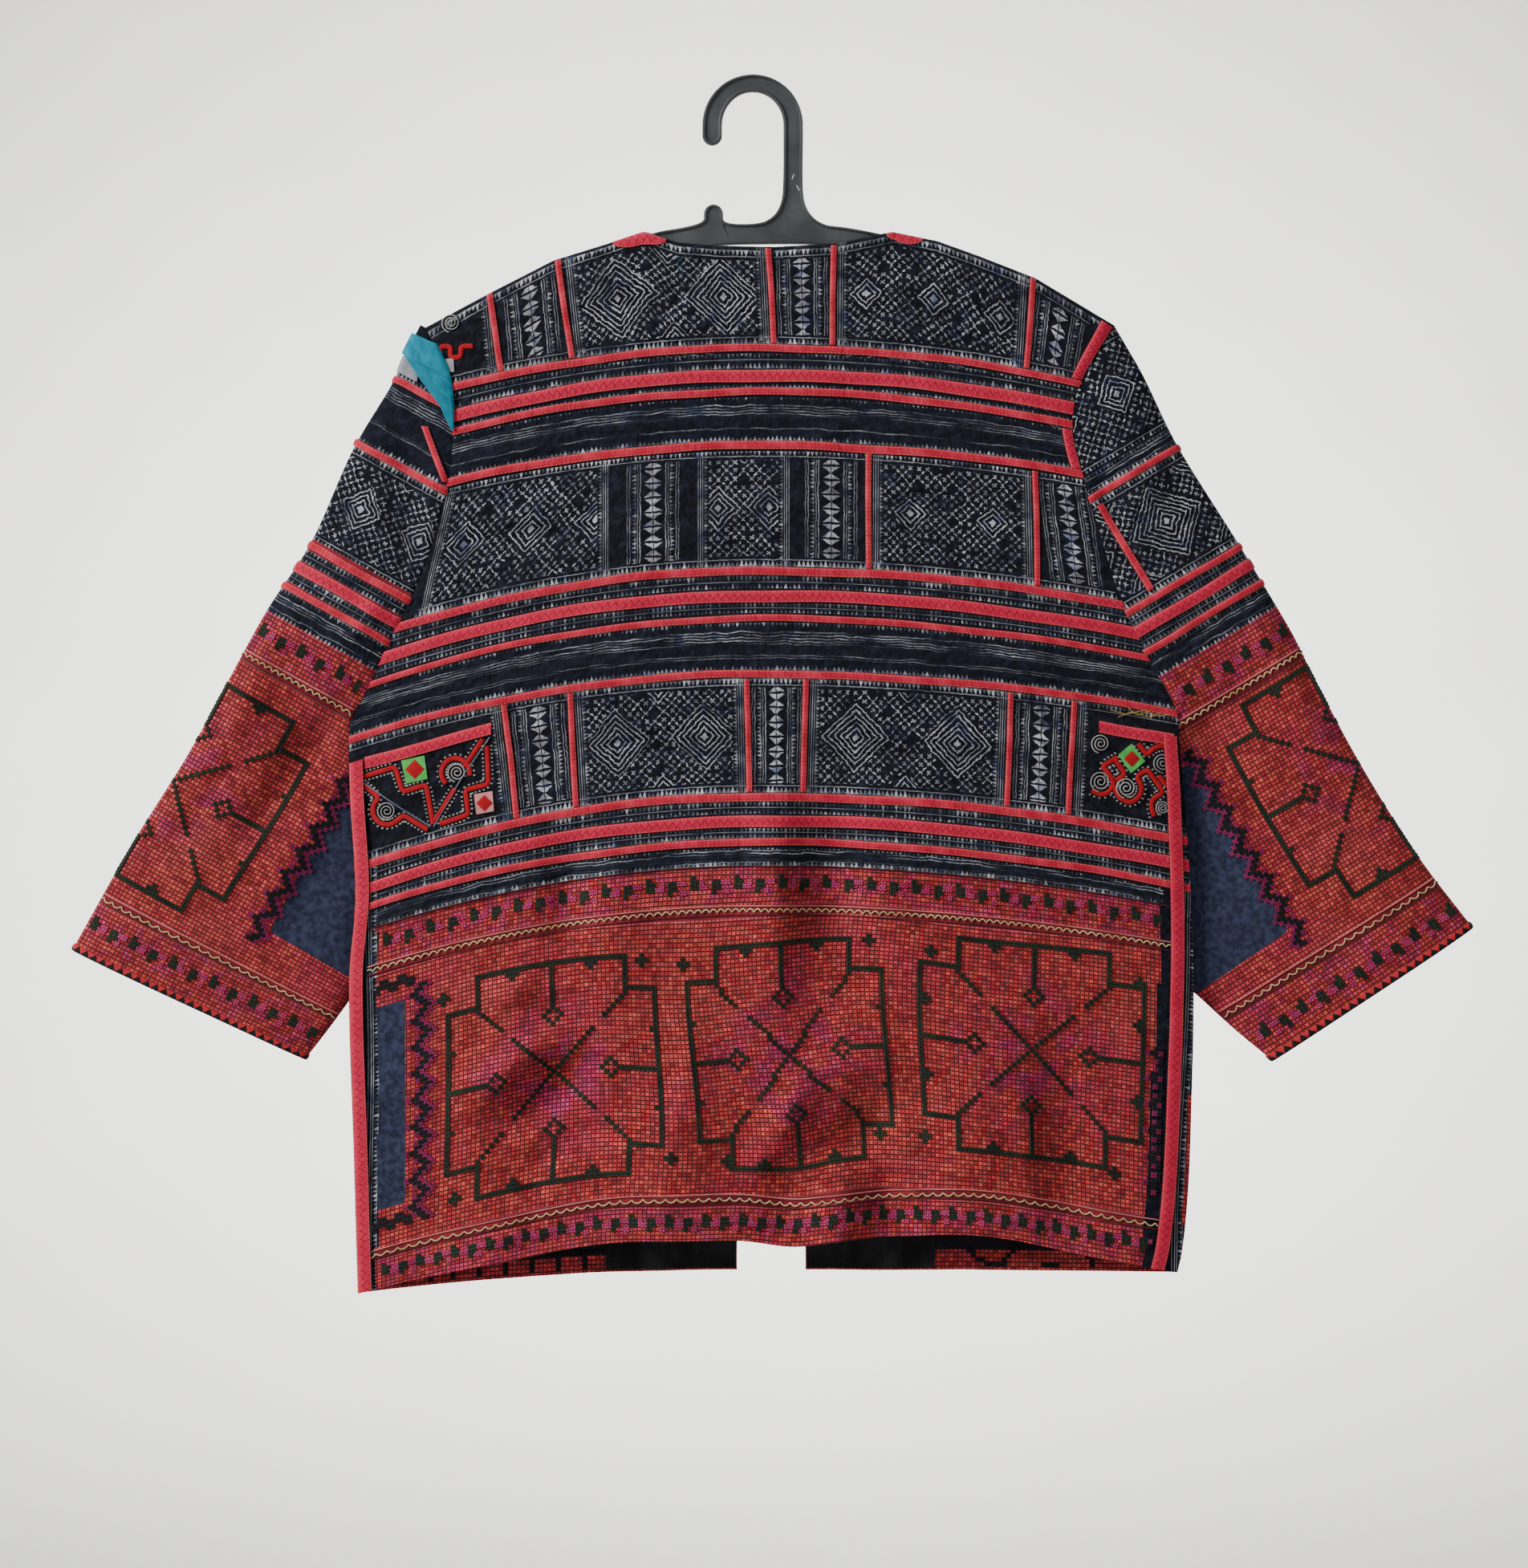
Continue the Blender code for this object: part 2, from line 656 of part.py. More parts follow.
def front_points(side):
    tip = LEFT_TIP if side == "left" else RIGHT_TIP
    corner = NECK_LEFT if side == "left" else NECK_RIGHT
    low = ROWS[-1].left if side == "left" else ROWS[-1].right
    peak = top_z(corner)
    grid = []
    for z_side, yoke in front_lines(side):
        fall = (tip.z - z_side) / (tip.z - low)
        z_edge = peak + (FRONT_HEM - peak) * fall
        x_side, x_edge = edge_x(side, z_side), front_edge_x(side, z_edge)
        line = []
        for v in FRONT_COLUMNS:
            x = x_side + (x_edge - x_side) * v
            z = z_side + (z_edge - z_side) * (1 - (1 - v) ** 2)
            if yoke is not None:
                blend = yoke / YOKE_LINES[-1]
                z_top = top_z(tip.x + (corner - tip.x) * v) + z_side - tip.z
                z = z_top * (1 - blend) + z * blend
            width = edge_x("right", z_side) - edge_x("left", z_side)
            u = (x - edge_x("left", z_side)) / width
            y = hollow_depth(min(max(u, 0.0), 1.0), z)
            if yoke == 0.0:
                y = SEAM_GAP / 2 if v < 1 else NECK_CLEAR
            line.append((x, y, z))
        grid.append(line)
    return grid


FRONTS = {}
for side in ("left", "right"):
    inner = np.array(front_points(side))
    FRONTS[side] = Sheet(inner, inner + np.array([0, WALL, 0]))
    wall_object(
        f"front_{side}",
        FRONTS[side].outer.reshape(-1, 3),
        FRONTS[side].inner.reshape(-1, 3),
        grid_cells(*inner.shape[:2]),
        BATIK,
        0.85,
    )
    # The facing lies inside the front, along its edge
    inside = Sheet(FRONTS[side].outer, FRONTS[side].inner)
    facing_lines = list(range(FACING_FIRST_LINE, inner.shape[0]))
    facing_columns = [k for k, v in enumerate(FRONT_COLUMNS) if v >= FACING_FROM]
    lay_on(
        f"facing_{side}",
        inside,
        [[line] * len(facing_columns) for line in facing_lines],
        [facing_columns for _ in facing_lines],
        FACING,
    )
    # Red binding outside, down the neckline and front edge
    last = len(FRONT_COLUMNS) - 1
    lay_on(
        f"neck_binding_{side}",
        FRONTS[side],
        [[line, line] for line in NECK_BINDING_LINES],
        [[last - NECK_BINDING_SHARE, last] for _ in NECK_BINDING_LINES],
        RED,
    )

# Red binding that comes over each shoulder at the neck corner
for side, (x0, x1, low) in NECK_CORNERS.items():
    across = columns_between(x0, x1, 0.0)
    foot = [low / 3] + [low] * (len(across) - 2) + [low / 3]
    lay_on(f"neck_corner_{side}", BACK, [[NECK_CORNER_HEAD] * len(across), foot], [across, across], RED)

# Sleeves


def sleeve_place(shape, along, across):
    a, b = shape["along"], shape["across"]
    head = shape["head"]
    return head[0] + a[0] * along + b[0] * across, head[1] + a[1] * along + b[1] * across


def sleeve_stations(side):
    """Each station as outer fold, inner end, middle depth at both, half depths, and whether it is open there."""
    shape = SLEEVES[side]
    underarm = LEFT_UNDERARM if side == "left" else RIGHT_UNDERARM
    rim = [corner for corner in POLYLINE[side] if corner.z >= underarm - 1]
    rim = [(corner.x, corner.z) for corner in rim]
    head = shape["head"]
    out = -1 if side == "left" else 1
    stations = []
    for k, (x, z) in enumerate(rim):
        before, after = rim[max(k - 1, 0)], rim[min(k + 1, len(rim) - 1)]
        dx, dz = after[0] - before[0], after[1] - before[1]
        length = math.hypot(dx, dz)
        normal = (-out * dz / length, out * dx / length)
        px, pz = x + normal[0] * RIM_GAP, z + normal[1] * RIM_GAP
        along = (x - head[0]) * shape["along"][0] + (z - head[1]) * shape["along"][1]
        reach = float(smooth(shape["outer"], lambda o: o.along, lambda o: o.across, along))
        ox, oz = sleeve_place(shape, along, reach)
        if k == 0:
            ox, oz = px + out * SLEEVE_HEAD_WIDE, pz - SLEEVE_HEAD_DROP
        stations.append((along, (ox, oz), (px, pz), 0.0, armhole_depth(side, z), k < len(rim) - 1))
    for under in shape["under"]:
        reach = float(smooth(shape["outer"], lambda o: o.along, lambda o: o.across, under.along_top))
        outer = sleeve_place(shape, under.along_top, reach)
        inner = sleeve_place(shape, under.along, under.across)
        stations.append((under.along_top, outer, inner, under.y, 0.0, False))
    return stations


def ease(t):
    t = min(max(t, 0.0), 1.0)
    return t * t * (3 - 2 * t)


def sleeve_ring(side, station):
    """Points round the sleeve: the back layer from its seam out to the fold, then the front layer back."""
    along, outer, inner, inner_y, rim_depth, is_open = station
    puff = float(straight(SLEEVE_PUFF, lambda p: p.along, lambda p: p.depth, along))
    outer_y = float(straight(SLEEVE_PUFF, lambda p: p.along, lambda p: p.outer_y, along))
    out_x, out_z = outer
    dx, dz = inner[0] - out_x, inner[1] - out_z
    width = math.hypot(dx, dz)
    thin = min(WALL / width, 0.4)
    rings = []
    for layer in (-1, 1):
        ring = []
        for q in SHARES:
            x, z = out_x + dx * q, out_z + dz * q
            end = thin if not is_open else 0.0
            qi = thin + (1 - thin - end) * q
            xi, zi = out_x + dx * qi, out_z + dz * qi
            middle = outer_y + (inner_y - outer_y) * ease(q / 0.75)
            pinch = 0.0
            for line in PINCHES:
                share, away = along_segment(x, z, line)
                ends = min(max(1.2 - abs(share - 0.5) * 2, 0.0), 1.0)
                pinch += line.depth * ends * math.exp(-((away / line.half) ** 2))
            pinch *= 1 - ease((q - 0.8) / 0.2)
            depth = puff * max(4 * q * (1 - q), 0.0) ** 0.6 + rim_depth * (q * (2 - q)) ** 0.6
            shell = depth + WALL
            if q == 0 or (q == 1 and not is_open):
                depth = shell = 0.0
            ring.append(((x, middle + pinch + layer * shell, z), (xi, middle + pinch + layer * depth, zi)))
        rings.append(ring)
    return rings[0][::-1] + rings[1][1:]


AROUND = 2 * len(SHARES) - 1


def sleeve_layers(side, outer, inner, closed):
    """The back and the front cloth of a sleeve, just apart at the outer fold and at the closed underside."""
    fold = len(SHARES) - 1
    for layer, sign, columns, folded, seamed in (
        ("back", -1, slice(0, fold + 1), -1, 0),
        ("front", 1, slice(fold, AROUND), 0, -1),
    ):
        faces = []
        for points in (outer, inner):
            face = points[:, columns].copy()
            face[:, folded, 1] += sign * SEAM_GAP / 2
            face[closed, seamed, 1] += sign * SEAM_GAP / 2
            faces.append(face.reshape(-1, 3))
        cells = grid_cells(len(outer), fold + 1)
        wall_object(f"sleeve_{side}_{layer}", faces[0], faces[1], cells, STITCHED, 0.9)


SLEEVE_SHEETS = {}
SLEEVE_ALONG = {}
for side in ("left", "right"):
    stations = sleeve_stations(side)
    rings = [sleeve_ring(side, station) for station in stations]
    outer = np.array([[pair[0] for pair in ring] for ring in rings])
    inner = np.array([[pair[1] for pair in ring] for ring in rings])
    SLEEVE_SHEETS[side] = Sheet(inner, outer)
    SLEEVE_ALONG[side] = [station[0] for station in stations]
    sleeve_layers(side, outer, inner, np.array([not station[5] for station in stations]))


def station_at(side, along):
    return float(np.interp(along, SLEEVE_ALONG[side], range(len(SLEEVE_ALONG[side]))))


for side in ("left", "right"):
    sheet = SLEEVE_SHEETS[side]
    for number, tape in enumerate(SLEEVES[side]["tapes"], 1):
        first = station_at(side, tape.along - tape.width / 2)
        last = station_at(side, tape.along + tape.width / 2)
        around = list(range(AROUND))
        lines = [[first] * AROUND, [last] * AROUND]
        lay_on(f"sleeve_tape_{side}_{number}", sheet, lines, [around, around], RED, low=tape.gap)
    # Dark binding round the cuff, one closed ring
    end = len(SLEEVE_ALONG[side]) - 1
    start = station_at(side, SLEEVE_ALONG[side][-1] - CUFF_BINDING)
    low, high = [], []
    for line in (start, end):
        for j in range(AROUND - 1):
            low.append(sheet.at(line, j, TAPE_GAP))
            high.append(sheet.at(line, j, TAPE_GAP + TAPE_THICK))
    ring = AROUND - 1
    cells = [(j, (j + 1) % ring, ring + (j + 1) % ring, ring + j) for j in range(ring)]
    wall_object(f"cuff_binding_{side}", high, low, cells, FACING, 0.85)


def rim_strip(side, start, end, across):
    """Places for a strip on the back layer of a sleeve beside its armhole, from one place along to another."""
    first, last = station_at(side, start), station_at(side, end)
    inside = [k for k in range(len(SLEEVE_ALONG[side])) if first + 0.15 < k < last - 0.15]
    stretch = [first] + inside + [last]
    columns = [list(across((line - first) / (last - first))) for line in stretch]
    lines = [[line] * len(row) for line, row in zip(stretch, columns)]
    return lines, columns


# Slanting tape beside the left armhole, lengthwise tape on the right sleeve, and the two mending patches
lines, columns = rim_strip("left", 36, 61, lambda s: (3.1 - 2.8 * s, 3.76 - 2.2 * s))
lay_on("sleeve_slant_tape", SLEEVE_SHEETS["left"], lines, columns, RED, low=PATCH_LIFT)
lines, columns = rim_strip("right", 69, 134.5, lambda s: (1.3 + 0.9 * s, 2.0 + 0.65 * s))
lay_on("sleeve_long_tape", SLEEVE_SHEETS["right"], lines, columns, RED)
lines, columns = rim_strip("left", 2, 13, lambda s: (4.6, 5, 6, 7, 7.7))
lay_on("grey_patch", SLEEVE_SHEETS["left"], lines, columns, GREY, low=PATCH_LIFT)


def teal_columns(share):
    """The teal patch covers the sleeve's head and narrows to a point down the armhole."""
    last = np.interp(share, TEAL_SHARES, TEAL_LAST)
    return np.linspace(TEAL_FIRST, last, 6)


# The teal patch lies over the grey one and the end of the first tape, clear of them
lines, columns = rim_strip("left", -14, 30, teal_columns)
lay_on("teal_patch", SLEEVE_SHEETS["left"], lines, columns, TEAL, low=PATCH_LIFT * 2 + TAPE_THICK)

# Hanger: one plate cut to the outline of hook, stem, bar and arms


def arc(cx, cz, rx, rz, start, end, count):
    points = []
    for k in range(count + 1):
        angle = math.radians(start + (end - start) * k / count)
        points.append((cx + rx * math.cos(angle), cz + rz * math.sin(angle)))
    return points


def hanger_outline():
    centre = -HOOK_INNER
    outer = HOOK_INNER + HOOK_BAND
    side_inner = 20.2
    stem_in, stem_out = side_inner, outer - 0.5
    tip_x, tip_r = -(side_inner + outer) / 2, (outer - side_inner) / 2
    points = arc(0, centre, outer, outer, 0, 180, 14)
    points += arc(tip_x, centre - 7.0, tip_r, tip_r, 180, 360, 6)
    points += arc(0, centre, side_inner, HOOK_INNER, 180, 0, 14)
    # Down the stem's inner side, out along the bar's left half with its peg, and round the left arm
    points += [(stem_in, -62.0), (stem_in - 1.5, -74.0), (stem_in - 6.5, -82.5), (4.2, -87.3)]
    points += [(-19.4, -87.0), (-19.4, -80.6)]
    points += arc(-25.9, -80.6, 6.5, 6.4, 0, 180, 6)[1:]
    points += [(-32.4, -86.0), (-46.0, -89.6), (-64.0, -92.3), (-73.0, -96.2)]
    for x in (-98.0, -131.4, -160.0):
        points.append((x, top_z(x) - SHOULDER_TO_ARM))
    end_left = -188.0
    points.append((end_left, top_z(end_left) - SHOULDER_TO_ARM - 0.4))
    points.append((end_left - 3.5, top_z(end_left) - SHOULDER_TO_ARM - 6.0))
    points.append((end_left + 1.0, top_z(end_left) - SHOULDER_TO_ARM - 10.5))
    for x in (-160.0, -131.4, -98.0, -64.0):
        points.append((x + 3.0, min(top_z(x), -95.5) - SHOULDER_TO_ARM - ARM_TALL))
    points += [(-30.0, -101.5), (10.0, -100.4), (52.0, -100.8)]
    for x in (85.0, 122.0, 149.5, 186.6):
        points.append((x - 3.0, min(top_z(x), -95.5) - SHOULDER_TO_ARM - ARM_TALL))
    end_right = 209.0
    points.append((end_right - 1.0, top_z(end_right) - SHOULDER_TO_ARM - 10.5))
    points.append((end_right + 3.5, top_z(end_right) - SHOULDER_TO_ARM - 6.0))
    points.append((end_right, top_z(end_right) - SHOULDER_TO_ARM - 0.4))
    for x in (186.6, 149.5, 122.0):
        points.append((x, top_z(x) - SHOULDER_TO_ARM))
    points += [(93.0, -96.4), (84.0, -93.6), (70.0, -90.8), (58.0, -88.9), (47.7, -88.0)]
    points += [(stem_out + 6.5, -83.0), (stem_out + 1.5, -74.5), (stem_out, -62.0)]
    return points


def hanger():
    """The outline pushed out both ways, with its edges chamfered by narrower faces."""
    chamfer = 2.0
    outline = hanger_outline()
    mesh = bmesh.new()
    loops = []
    count = len(outline)
    depth = [HOOK_HALF if z > -60 else HANGER_HALF for _, z in outline]
    normals = []
    for k in range(count):
        (x0, z0), (x1, z1) = outline[k - 1], outline[(k + 1) % count]
        length = math.hypot(x1 - x0, z1 - z0)
        normals.append(((z1 - z0) / length, -(x1 - x0) / length))
    for level in (-1.0, -0.36, 0.36, 1.0):
        loop = []
        for (x, z), (nx, nz), half in zip(outline, normals, depth):
            pull = chamfer if abs(level) == 1.0 else 0.0
            loop.append(mesh.verts.new(((x - nx * pull) * MM, level * half * MM, (z - nz * pull) * MM)))
        loops.append(loop)
    for low, high in zip(loops, loops[1:]):
        for k in range(count):
            mesh.faces.new((low[k], low[(k + 1) % count], high[(k + 1) % count], high[k]))
    mesh.faces.new(loops[0][::-1])
    mesh.faces.new(loops[-1])
    bmesh.ops.triangulate(mesh, faces=[f for f in mesh.faces if len(f.verts) > 4], ngon_method="EAR_CLIP")
    bmesh.ops.recalc_face_normals(mesh, faces=mesh.faces)
    points = [tuple(v.co) for v in mesh.verts]
    mesh.verts.index_update()
    faces = [tuple(v.index for v in f.verts) for f in mesh.faces]
    mesh.free()
    finish("hanger", points, faces, PLASTIC, 0.42)


hanger()
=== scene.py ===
"""Patchwork jacket seen from its back, hung flat on a plastic hanger.

Batik blocks lie between red tapes, and cross-stitch lies below them. Sizes are in millimetres up to the meshes.
x runs to the wearer's right, z is up, and the back faces -y.
"""

import math
from collections import namedtuple
from functools import partial

import bmesh
import bpy
import numpy as np
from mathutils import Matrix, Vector


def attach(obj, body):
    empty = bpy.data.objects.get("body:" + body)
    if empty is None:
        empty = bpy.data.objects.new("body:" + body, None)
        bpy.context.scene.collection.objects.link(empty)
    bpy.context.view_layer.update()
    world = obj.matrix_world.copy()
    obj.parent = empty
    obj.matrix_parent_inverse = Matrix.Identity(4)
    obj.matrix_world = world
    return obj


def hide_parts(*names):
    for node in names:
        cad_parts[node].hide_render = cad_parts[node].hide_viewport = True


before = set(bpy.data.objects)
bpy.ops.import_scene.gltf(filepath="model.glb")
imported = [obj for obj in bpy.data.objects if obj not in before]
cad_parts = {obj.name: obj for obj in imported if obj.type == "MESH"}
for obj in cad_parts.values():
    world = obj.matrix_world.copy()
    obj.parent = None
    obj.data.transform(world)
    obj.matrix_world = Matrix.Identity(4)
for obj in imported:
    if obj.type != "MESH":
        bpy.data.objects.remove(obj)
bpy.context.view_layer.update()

# The studio: one camera square on to the back, a pale floor that curves up all round, and broad soft lights.
# It is no part of the jacket and only shows it.
MM = 0.001
scene = bpy.context.scene
camera_data = bpy.data.cameras.new("camera")
camera_data.sensor_width = 36.0
camera_data.lens = 69.5
camera_data.clip_end = 60.0
camera = bpy.data.objects.new("camera", camera_data)
camera.location = (0.0074, -2.0, -0.457)
camera.rotation_euler = (math.radians(90), 0, 0)
scene.collection.objects.link(camera)
scene.camera = camera


def dye(red, green, blue):
    """A colour given as screen values from 0 to 255, made linear."""
    shares = [v / 255 for v in (red, green, blue)]
    return tuple(s / 12.92 if s <= 0.04045 else ((s + 0.055) / 1.055) ** 2.4 for s in shares)


def maths(operation, turned=False):
    """An operator or a method of Value that adds one step of maths. Where it is turned, the value comes last."""

    def step(value, *others):
        terms = (value, *others)
        return value.finish.node("ShaderNodeMath", {"operation": operation}, terms[::-1] if turned else terms)

    return step


class Value:
    """A number that varies over a finish. Sums of values add the maths to the finish."""

    def __init__(self, finish, socket):
        self.finish = finish
        self.socket = socket

    __add__, __radd__ = maths("ADD"), maths("ADD", True)
    __sub__, __rsub__ = maths("SUBTRACT"), maths("SUBTRACT", True)
    __mul__, __rmul__ = maths("MULTIPLY"), maths("MULTIPLY", True)
    __truediv__, __abs__ = maths("DIVIDE"), maths("ABSOLUTE")
    __gt__, __lt__ = maths("GREATER_THAN"), maths("LESS_THAN")
    most, least, swing = maths("MAXIMUM"), maths("MINIMUM"), maths("PINGPONG")
    whole, part, sine = maths("FLOOR"), maths("FRACT"), maths("SINE")

    def between(self, low, high):
        """0 where the value is low, 1 where it is high, smooth from one to the other."""
        settings = {"interpolation_type": "SMOOTHSTEP"}
        return self.finish.node("ShaderNodeMapRange", settings, {"Value": self, "From Min": low, "From Max": high})

    def line(self, half):
        """1 on a line where the value is nearly 0."""
        return 1 - abs(self).between(half * 0.6, half * 1.4)

    def rows(self, pitch):
        """How far the value is from the nearest of evenly spaced rows."""
        return abs((self / pitch).part() - 0.5) * pitch


class Finish:
    """A material whose nodes are added by expressions."""

    def __init__(self, name, colour, roughness, **fixed):
        self.material = bpy.data.materials.new(name)
        self.material.use_nodes = True
        self.tree = self.material.node_tree
        self.shader = self.tree.nodes["Principled BSDF"]
        self.shader.inputs["Base Color"].default_value = (*colour, 1)
        self.shader.inputs["Roughness"].default_value = roughness
        for socket, value in fixed.items():
            socket = self.shader.inputs[socket.replace("_", " ")]
            socket.default_value = (*value, 1) if isinstance(value, tuple) else value

    def fill(self, socket, value):
        if isinstance(value, Value):
            self.tree.links.new(value.socket, socket)
        elif isinstance(value, tuple) and socket.type == "RGBA":
            socket.default_value = (*value, 1)
        else:
            socket.default_value = value

    def node(self, kind, settings=None, sockets=(), out=0):
        made = self.tree.nodes.new(kind)
        for name, value in (settings or {}).items():
            setattr(made, name, value)
        pairs = sockets.items() if isinstance(sockets, dict) else enumerate(sockets)
        for name, value in pairs:
            self.fill(made.inputs[name], value)
        return Value(self, made.outputs[out])

    def attribute(self, name):
        """The three numbers of a pattern attribute."""
        vector = self.node("ShaderNodeAttribute", {"attribute_name": name}, (), "Vector")
        return self.parts(vector)

    def parts(self, vector):
        first = self.node("ShaderNodeSeparateXYZ", None, [vector])
        outputs = first.socket.node.outputs
        return [Value(self, outputs[k]) for k in range(3)]

    def vector(self, *parts):
        return self.node("ShaderNodeCombineXYZ", None, parts)

    def place(self):
        """Where a point is on the jacket, in metres."""
        return self.node("ShaderNodeTexCoord", None, (), "Object")

    def noise(self, vector, scale, detail, out=0):
        sockets = {"Vector": vector, "Scale": scale, "Detail": detail}
        return self.node("ShaderNodeTexNoise", None, sockets, out)

    def speckle(self, vector):
        """A random number for each whole-numbered place."""
        return self.node("ShaderNodeTexWhiteNoise", None, {"Vector": vector})

    def mix(self, first, second, share):
        return self.node("ShaderNodeMix", {"data_type": "RGBA"}, {0: share, 6: first, 7: second}, 2)

    def tone(self, colour, value):
        """A colour made lighter or darker by a number."""
        return self.node("ShaderNodeVectorMath", {"operation": "SCALE"}, {0: colour, "Scale": value})

    def show(self, colour, roughness=None, height=None, depth=None):
        """Feeds the shader. height is in shares of depth, which is in metres."""
        self.fill(self.shader.inputs["Base Color"], colour)
        if roughness is not None:
            self.fill(self.shader.inputs["Roughness"], roughness)
        if height is not None:
            bump = self.node("ShaderNodeBump", None, {"Strength": 1.0, "Distance": depth, "Height": height})
            self.fill(self.shader.inputs["Normal"], bump)
        return self.material


def placed(name, mesh):
    """A piece that shows a mesh."""
    piece = bpy.data.objects.new(name, mesh)
    scene.collection.objects.link(piece)
    return piece


FLOOR_Z, FLOOR_FLAT, FLOOR_FAR, FLOOR_RISE, FLOOR_TOP = -1.7, 2.8, 6.4, 3.6, 5.0
CURVE_STEPS, AROUND_FLOOR = 8, 64
profile = [(0.8, FLOOR_Z), (1.8, FLOOR_Z), (FLOOR_FLAT, FLOOR_Z)]
for step in range(1, CURVE_STEPS + 1):
    angle = math.radians(90 * step / CURVE_STEPS)
    run = FLOOR_FLAT + (FLOOR_FAR - FLOOR_FLAT) * math.sin(angle)
    profile.append((run, FLOOR_Z + FLOOR_RISE * (1 - math.cos(angle))))
profile.append((FLOOR_FAR, FLOOR_TOP))
turns = [2 * math.pi * k / AROUND_FLOOR for k in range(AROUND_FLOOR)]
floor_mesh = bmesh.new()
floor_rings = []
for run, height in profile:
    floor_rings.append([floor_mesh.verts.new((run * math.cos(t), run * math.sin(t), height)) for t in turns])
middle = floor_mesh.verts.new((0, 0, FLOOR_Z))
for k in range(AROUND_FLOOR):
    after = (k + 1) % AROUND_FLOOR
    floor_mesh.faces.new((middle, floor_rings[0][k], floor_rings[0][after]))
    for low, high in zip(floor_rings, floor_rings[1:]):
        floor_mesh.faces.new((low[k], high[k], high[after], low[after]))
floor_data = bpy.data.meshes.new("floor")
floor_mesh.to_mesh(floor_data)
floor_mesh.free()
for face in floor_data.polygons:
    face.use_smooth = True
paper = Finish("pale_paper", dye(170, 169, 166), 0.9)
grain = paper.noise(paper.place(), 3.0, 3.0)
floor_data.materials.append(paper.show(paper.mix(dye(167, 166, 163), dye(173, 172, 169), grain)))
placed("floor", floor_data)

world = bpy.data.worlds.new("studio")
world.use_nodes = True
background = world.node_tree.nodes["Background"]
background.inputs[0].default_value = (0.86, 0.88, 0.92, 1)
background.inputs[1].default_value = 0.22
scene.world = world
# Two broad lamps light the jacket's back, one lights its fronts, and two light the backdrop all round
Lamp = namedtuple("Lamp", "place aim size power spread")
MIDDLE = (0.0, 0.0, -0.45)
LAMPS = {
    "key": Lamp((-3.2, -1.55, 1.5), MIDDLE, 1.2, 274, 180),
    "fill": Lamp((2.4, -2.4, -0.1), MIDDLE, 2.2, 9, 180),
    "behind": Lamp((2.9, 1.7, 1.5), MIDDLE, 1.6, 60, 180),
    "backdrop": Lamp((0.0, 1.6, 2.4), (0.0, 6.4, -1.1), 2.6, 600, 95),
    "backdrop_front": Lamp((0.0, -1.6, 2.4), (0.0, -6.0, -0.6), 2.6, 90, 180),
}
for name, lamp in LAMPS.items():
    data = bpy.data.lights.new(name, "AREA")
    data.size = lamp.size
    data.energy = lamp.power
    data.spread = math.radians(lamp.spread)
    light = placed(name, data)
    light.location = lamp.place
    light.rotation_euler = (Vector(lamp.aim) - Vector(lamp.place)).to_track_quat("-Z", "Y").to_euler()
    light.visible_camera = False


# The body's shape: its top edge, its side edges and the lines across it, read off the real jacket as it hangs.
# Every cloth, tape and stitch below is laid out on this shape, so that all of them meet.
def table(kind, *rows):
    """Rows of numbers, with a name for each number."""
    return [kind(*row) for row in rows]


Top = namedtuple("Top", "x z")
TOP_EDGE = table(
    Top,
    (-216.2, -155.8), (-173.8, -133.0), (-131.4, -111.3), (-98.0, -101.0), (-74.0, -93.0), (-69.0, -93.6),
    (-50.0, -100.2), (-24.0, -102.4), (14.0, -103.2), (56.0, -100.8), (89.0, -93.8), (94.0, -93.0),
    (122.0, -98.6), (149.5, -108.5), (186.6, -123.0), (238.5, -154.2),
)
NECK_LEFT, NECK_RIGHT = -74.0, 94.0
Edge = namedtuple("Edge", "z x")
SIDES = {
    "left": table(
        Edge,
        (-155.8, -216.2), (-188.7, -200.3), (-228.4, -197.7), (-262.9, -201.9), (-289.4, -208.3),
        (-326.5, -221.5), (-358.3, -237.4), (-398.0, -256.0), (-411.3, -263.9), (-429.3, -266.6),
        (-463.2, -266.1), (-531.1, -262.4), (-587.8, -266.6), (-700.0, -263.5), (-793.4, -260.8),
    ),
    "right": table(
        Edge,
        (-154.2, 238.5), (-196.6, 214.7), (-220.5, 210.4), (-257.6, 218.4), (-284.1, 226.3), (-334.4, 242.2),
        (-374.2, 260.8), (-407.6, 279.3), (-430.0, 281.5), (-469.6, 285.1), (-593.6, 291.0), (-638.7, 290.4),
        (-764.3, 283.6), (-779.6, 280.3),
    ),
}
UNDERARM = {"left": -411.3, "right": -407.6}
# Height of each line across the back at the centre and at both side edges
Line = namedtuple("Line", "centre left right")
LINES = table(
    Line,
    (-167.45, -193.45, -191.35), (-188.2, -214.7, -208.8), (-198.8, -225.3, -221.5), (-234.3, -258.6, -252.8),
    (-262.0, -290.0, -283.0), (-290.0, -321.0, -311.0), (-316.9, -355.1, -339.2), (-333.4, -373.7, -357.8),
    (-348.2, -392.2, -374.7), (-384.8, -428.2, -410.2), (-425.0, -469.0, -452.0), (-465.3, -513.6, -494.5),
    (-495.1, -541.1, -526.3), (-540.0, -585.1, -567.1), (-587.0, -631.0, -612.0), (-635.0, -678.0, -657.0),
    (-682.0, -725.0, -704.0), (-728.8, -771.7, -750.5), (-756.3, -793.4, -779.6),
)
YOKE_TOP, FIRST, HEM = -103.2, LINES[0], LINES[-1]
CENTRE_X = 6.0
Hollow = namedtuple("Hollow", "z depth power")
HOLLOW = table(
    Hollow,
    (-100.0, 7.0, 0.35), (-172.0, 7.2, 0.38), (-260.0, 9.0, 0.6),
    (-400.0, 11.0, 0.8), (-600.0, 12.0, 0.8), (-800.0, 11.0, 0.8),
)
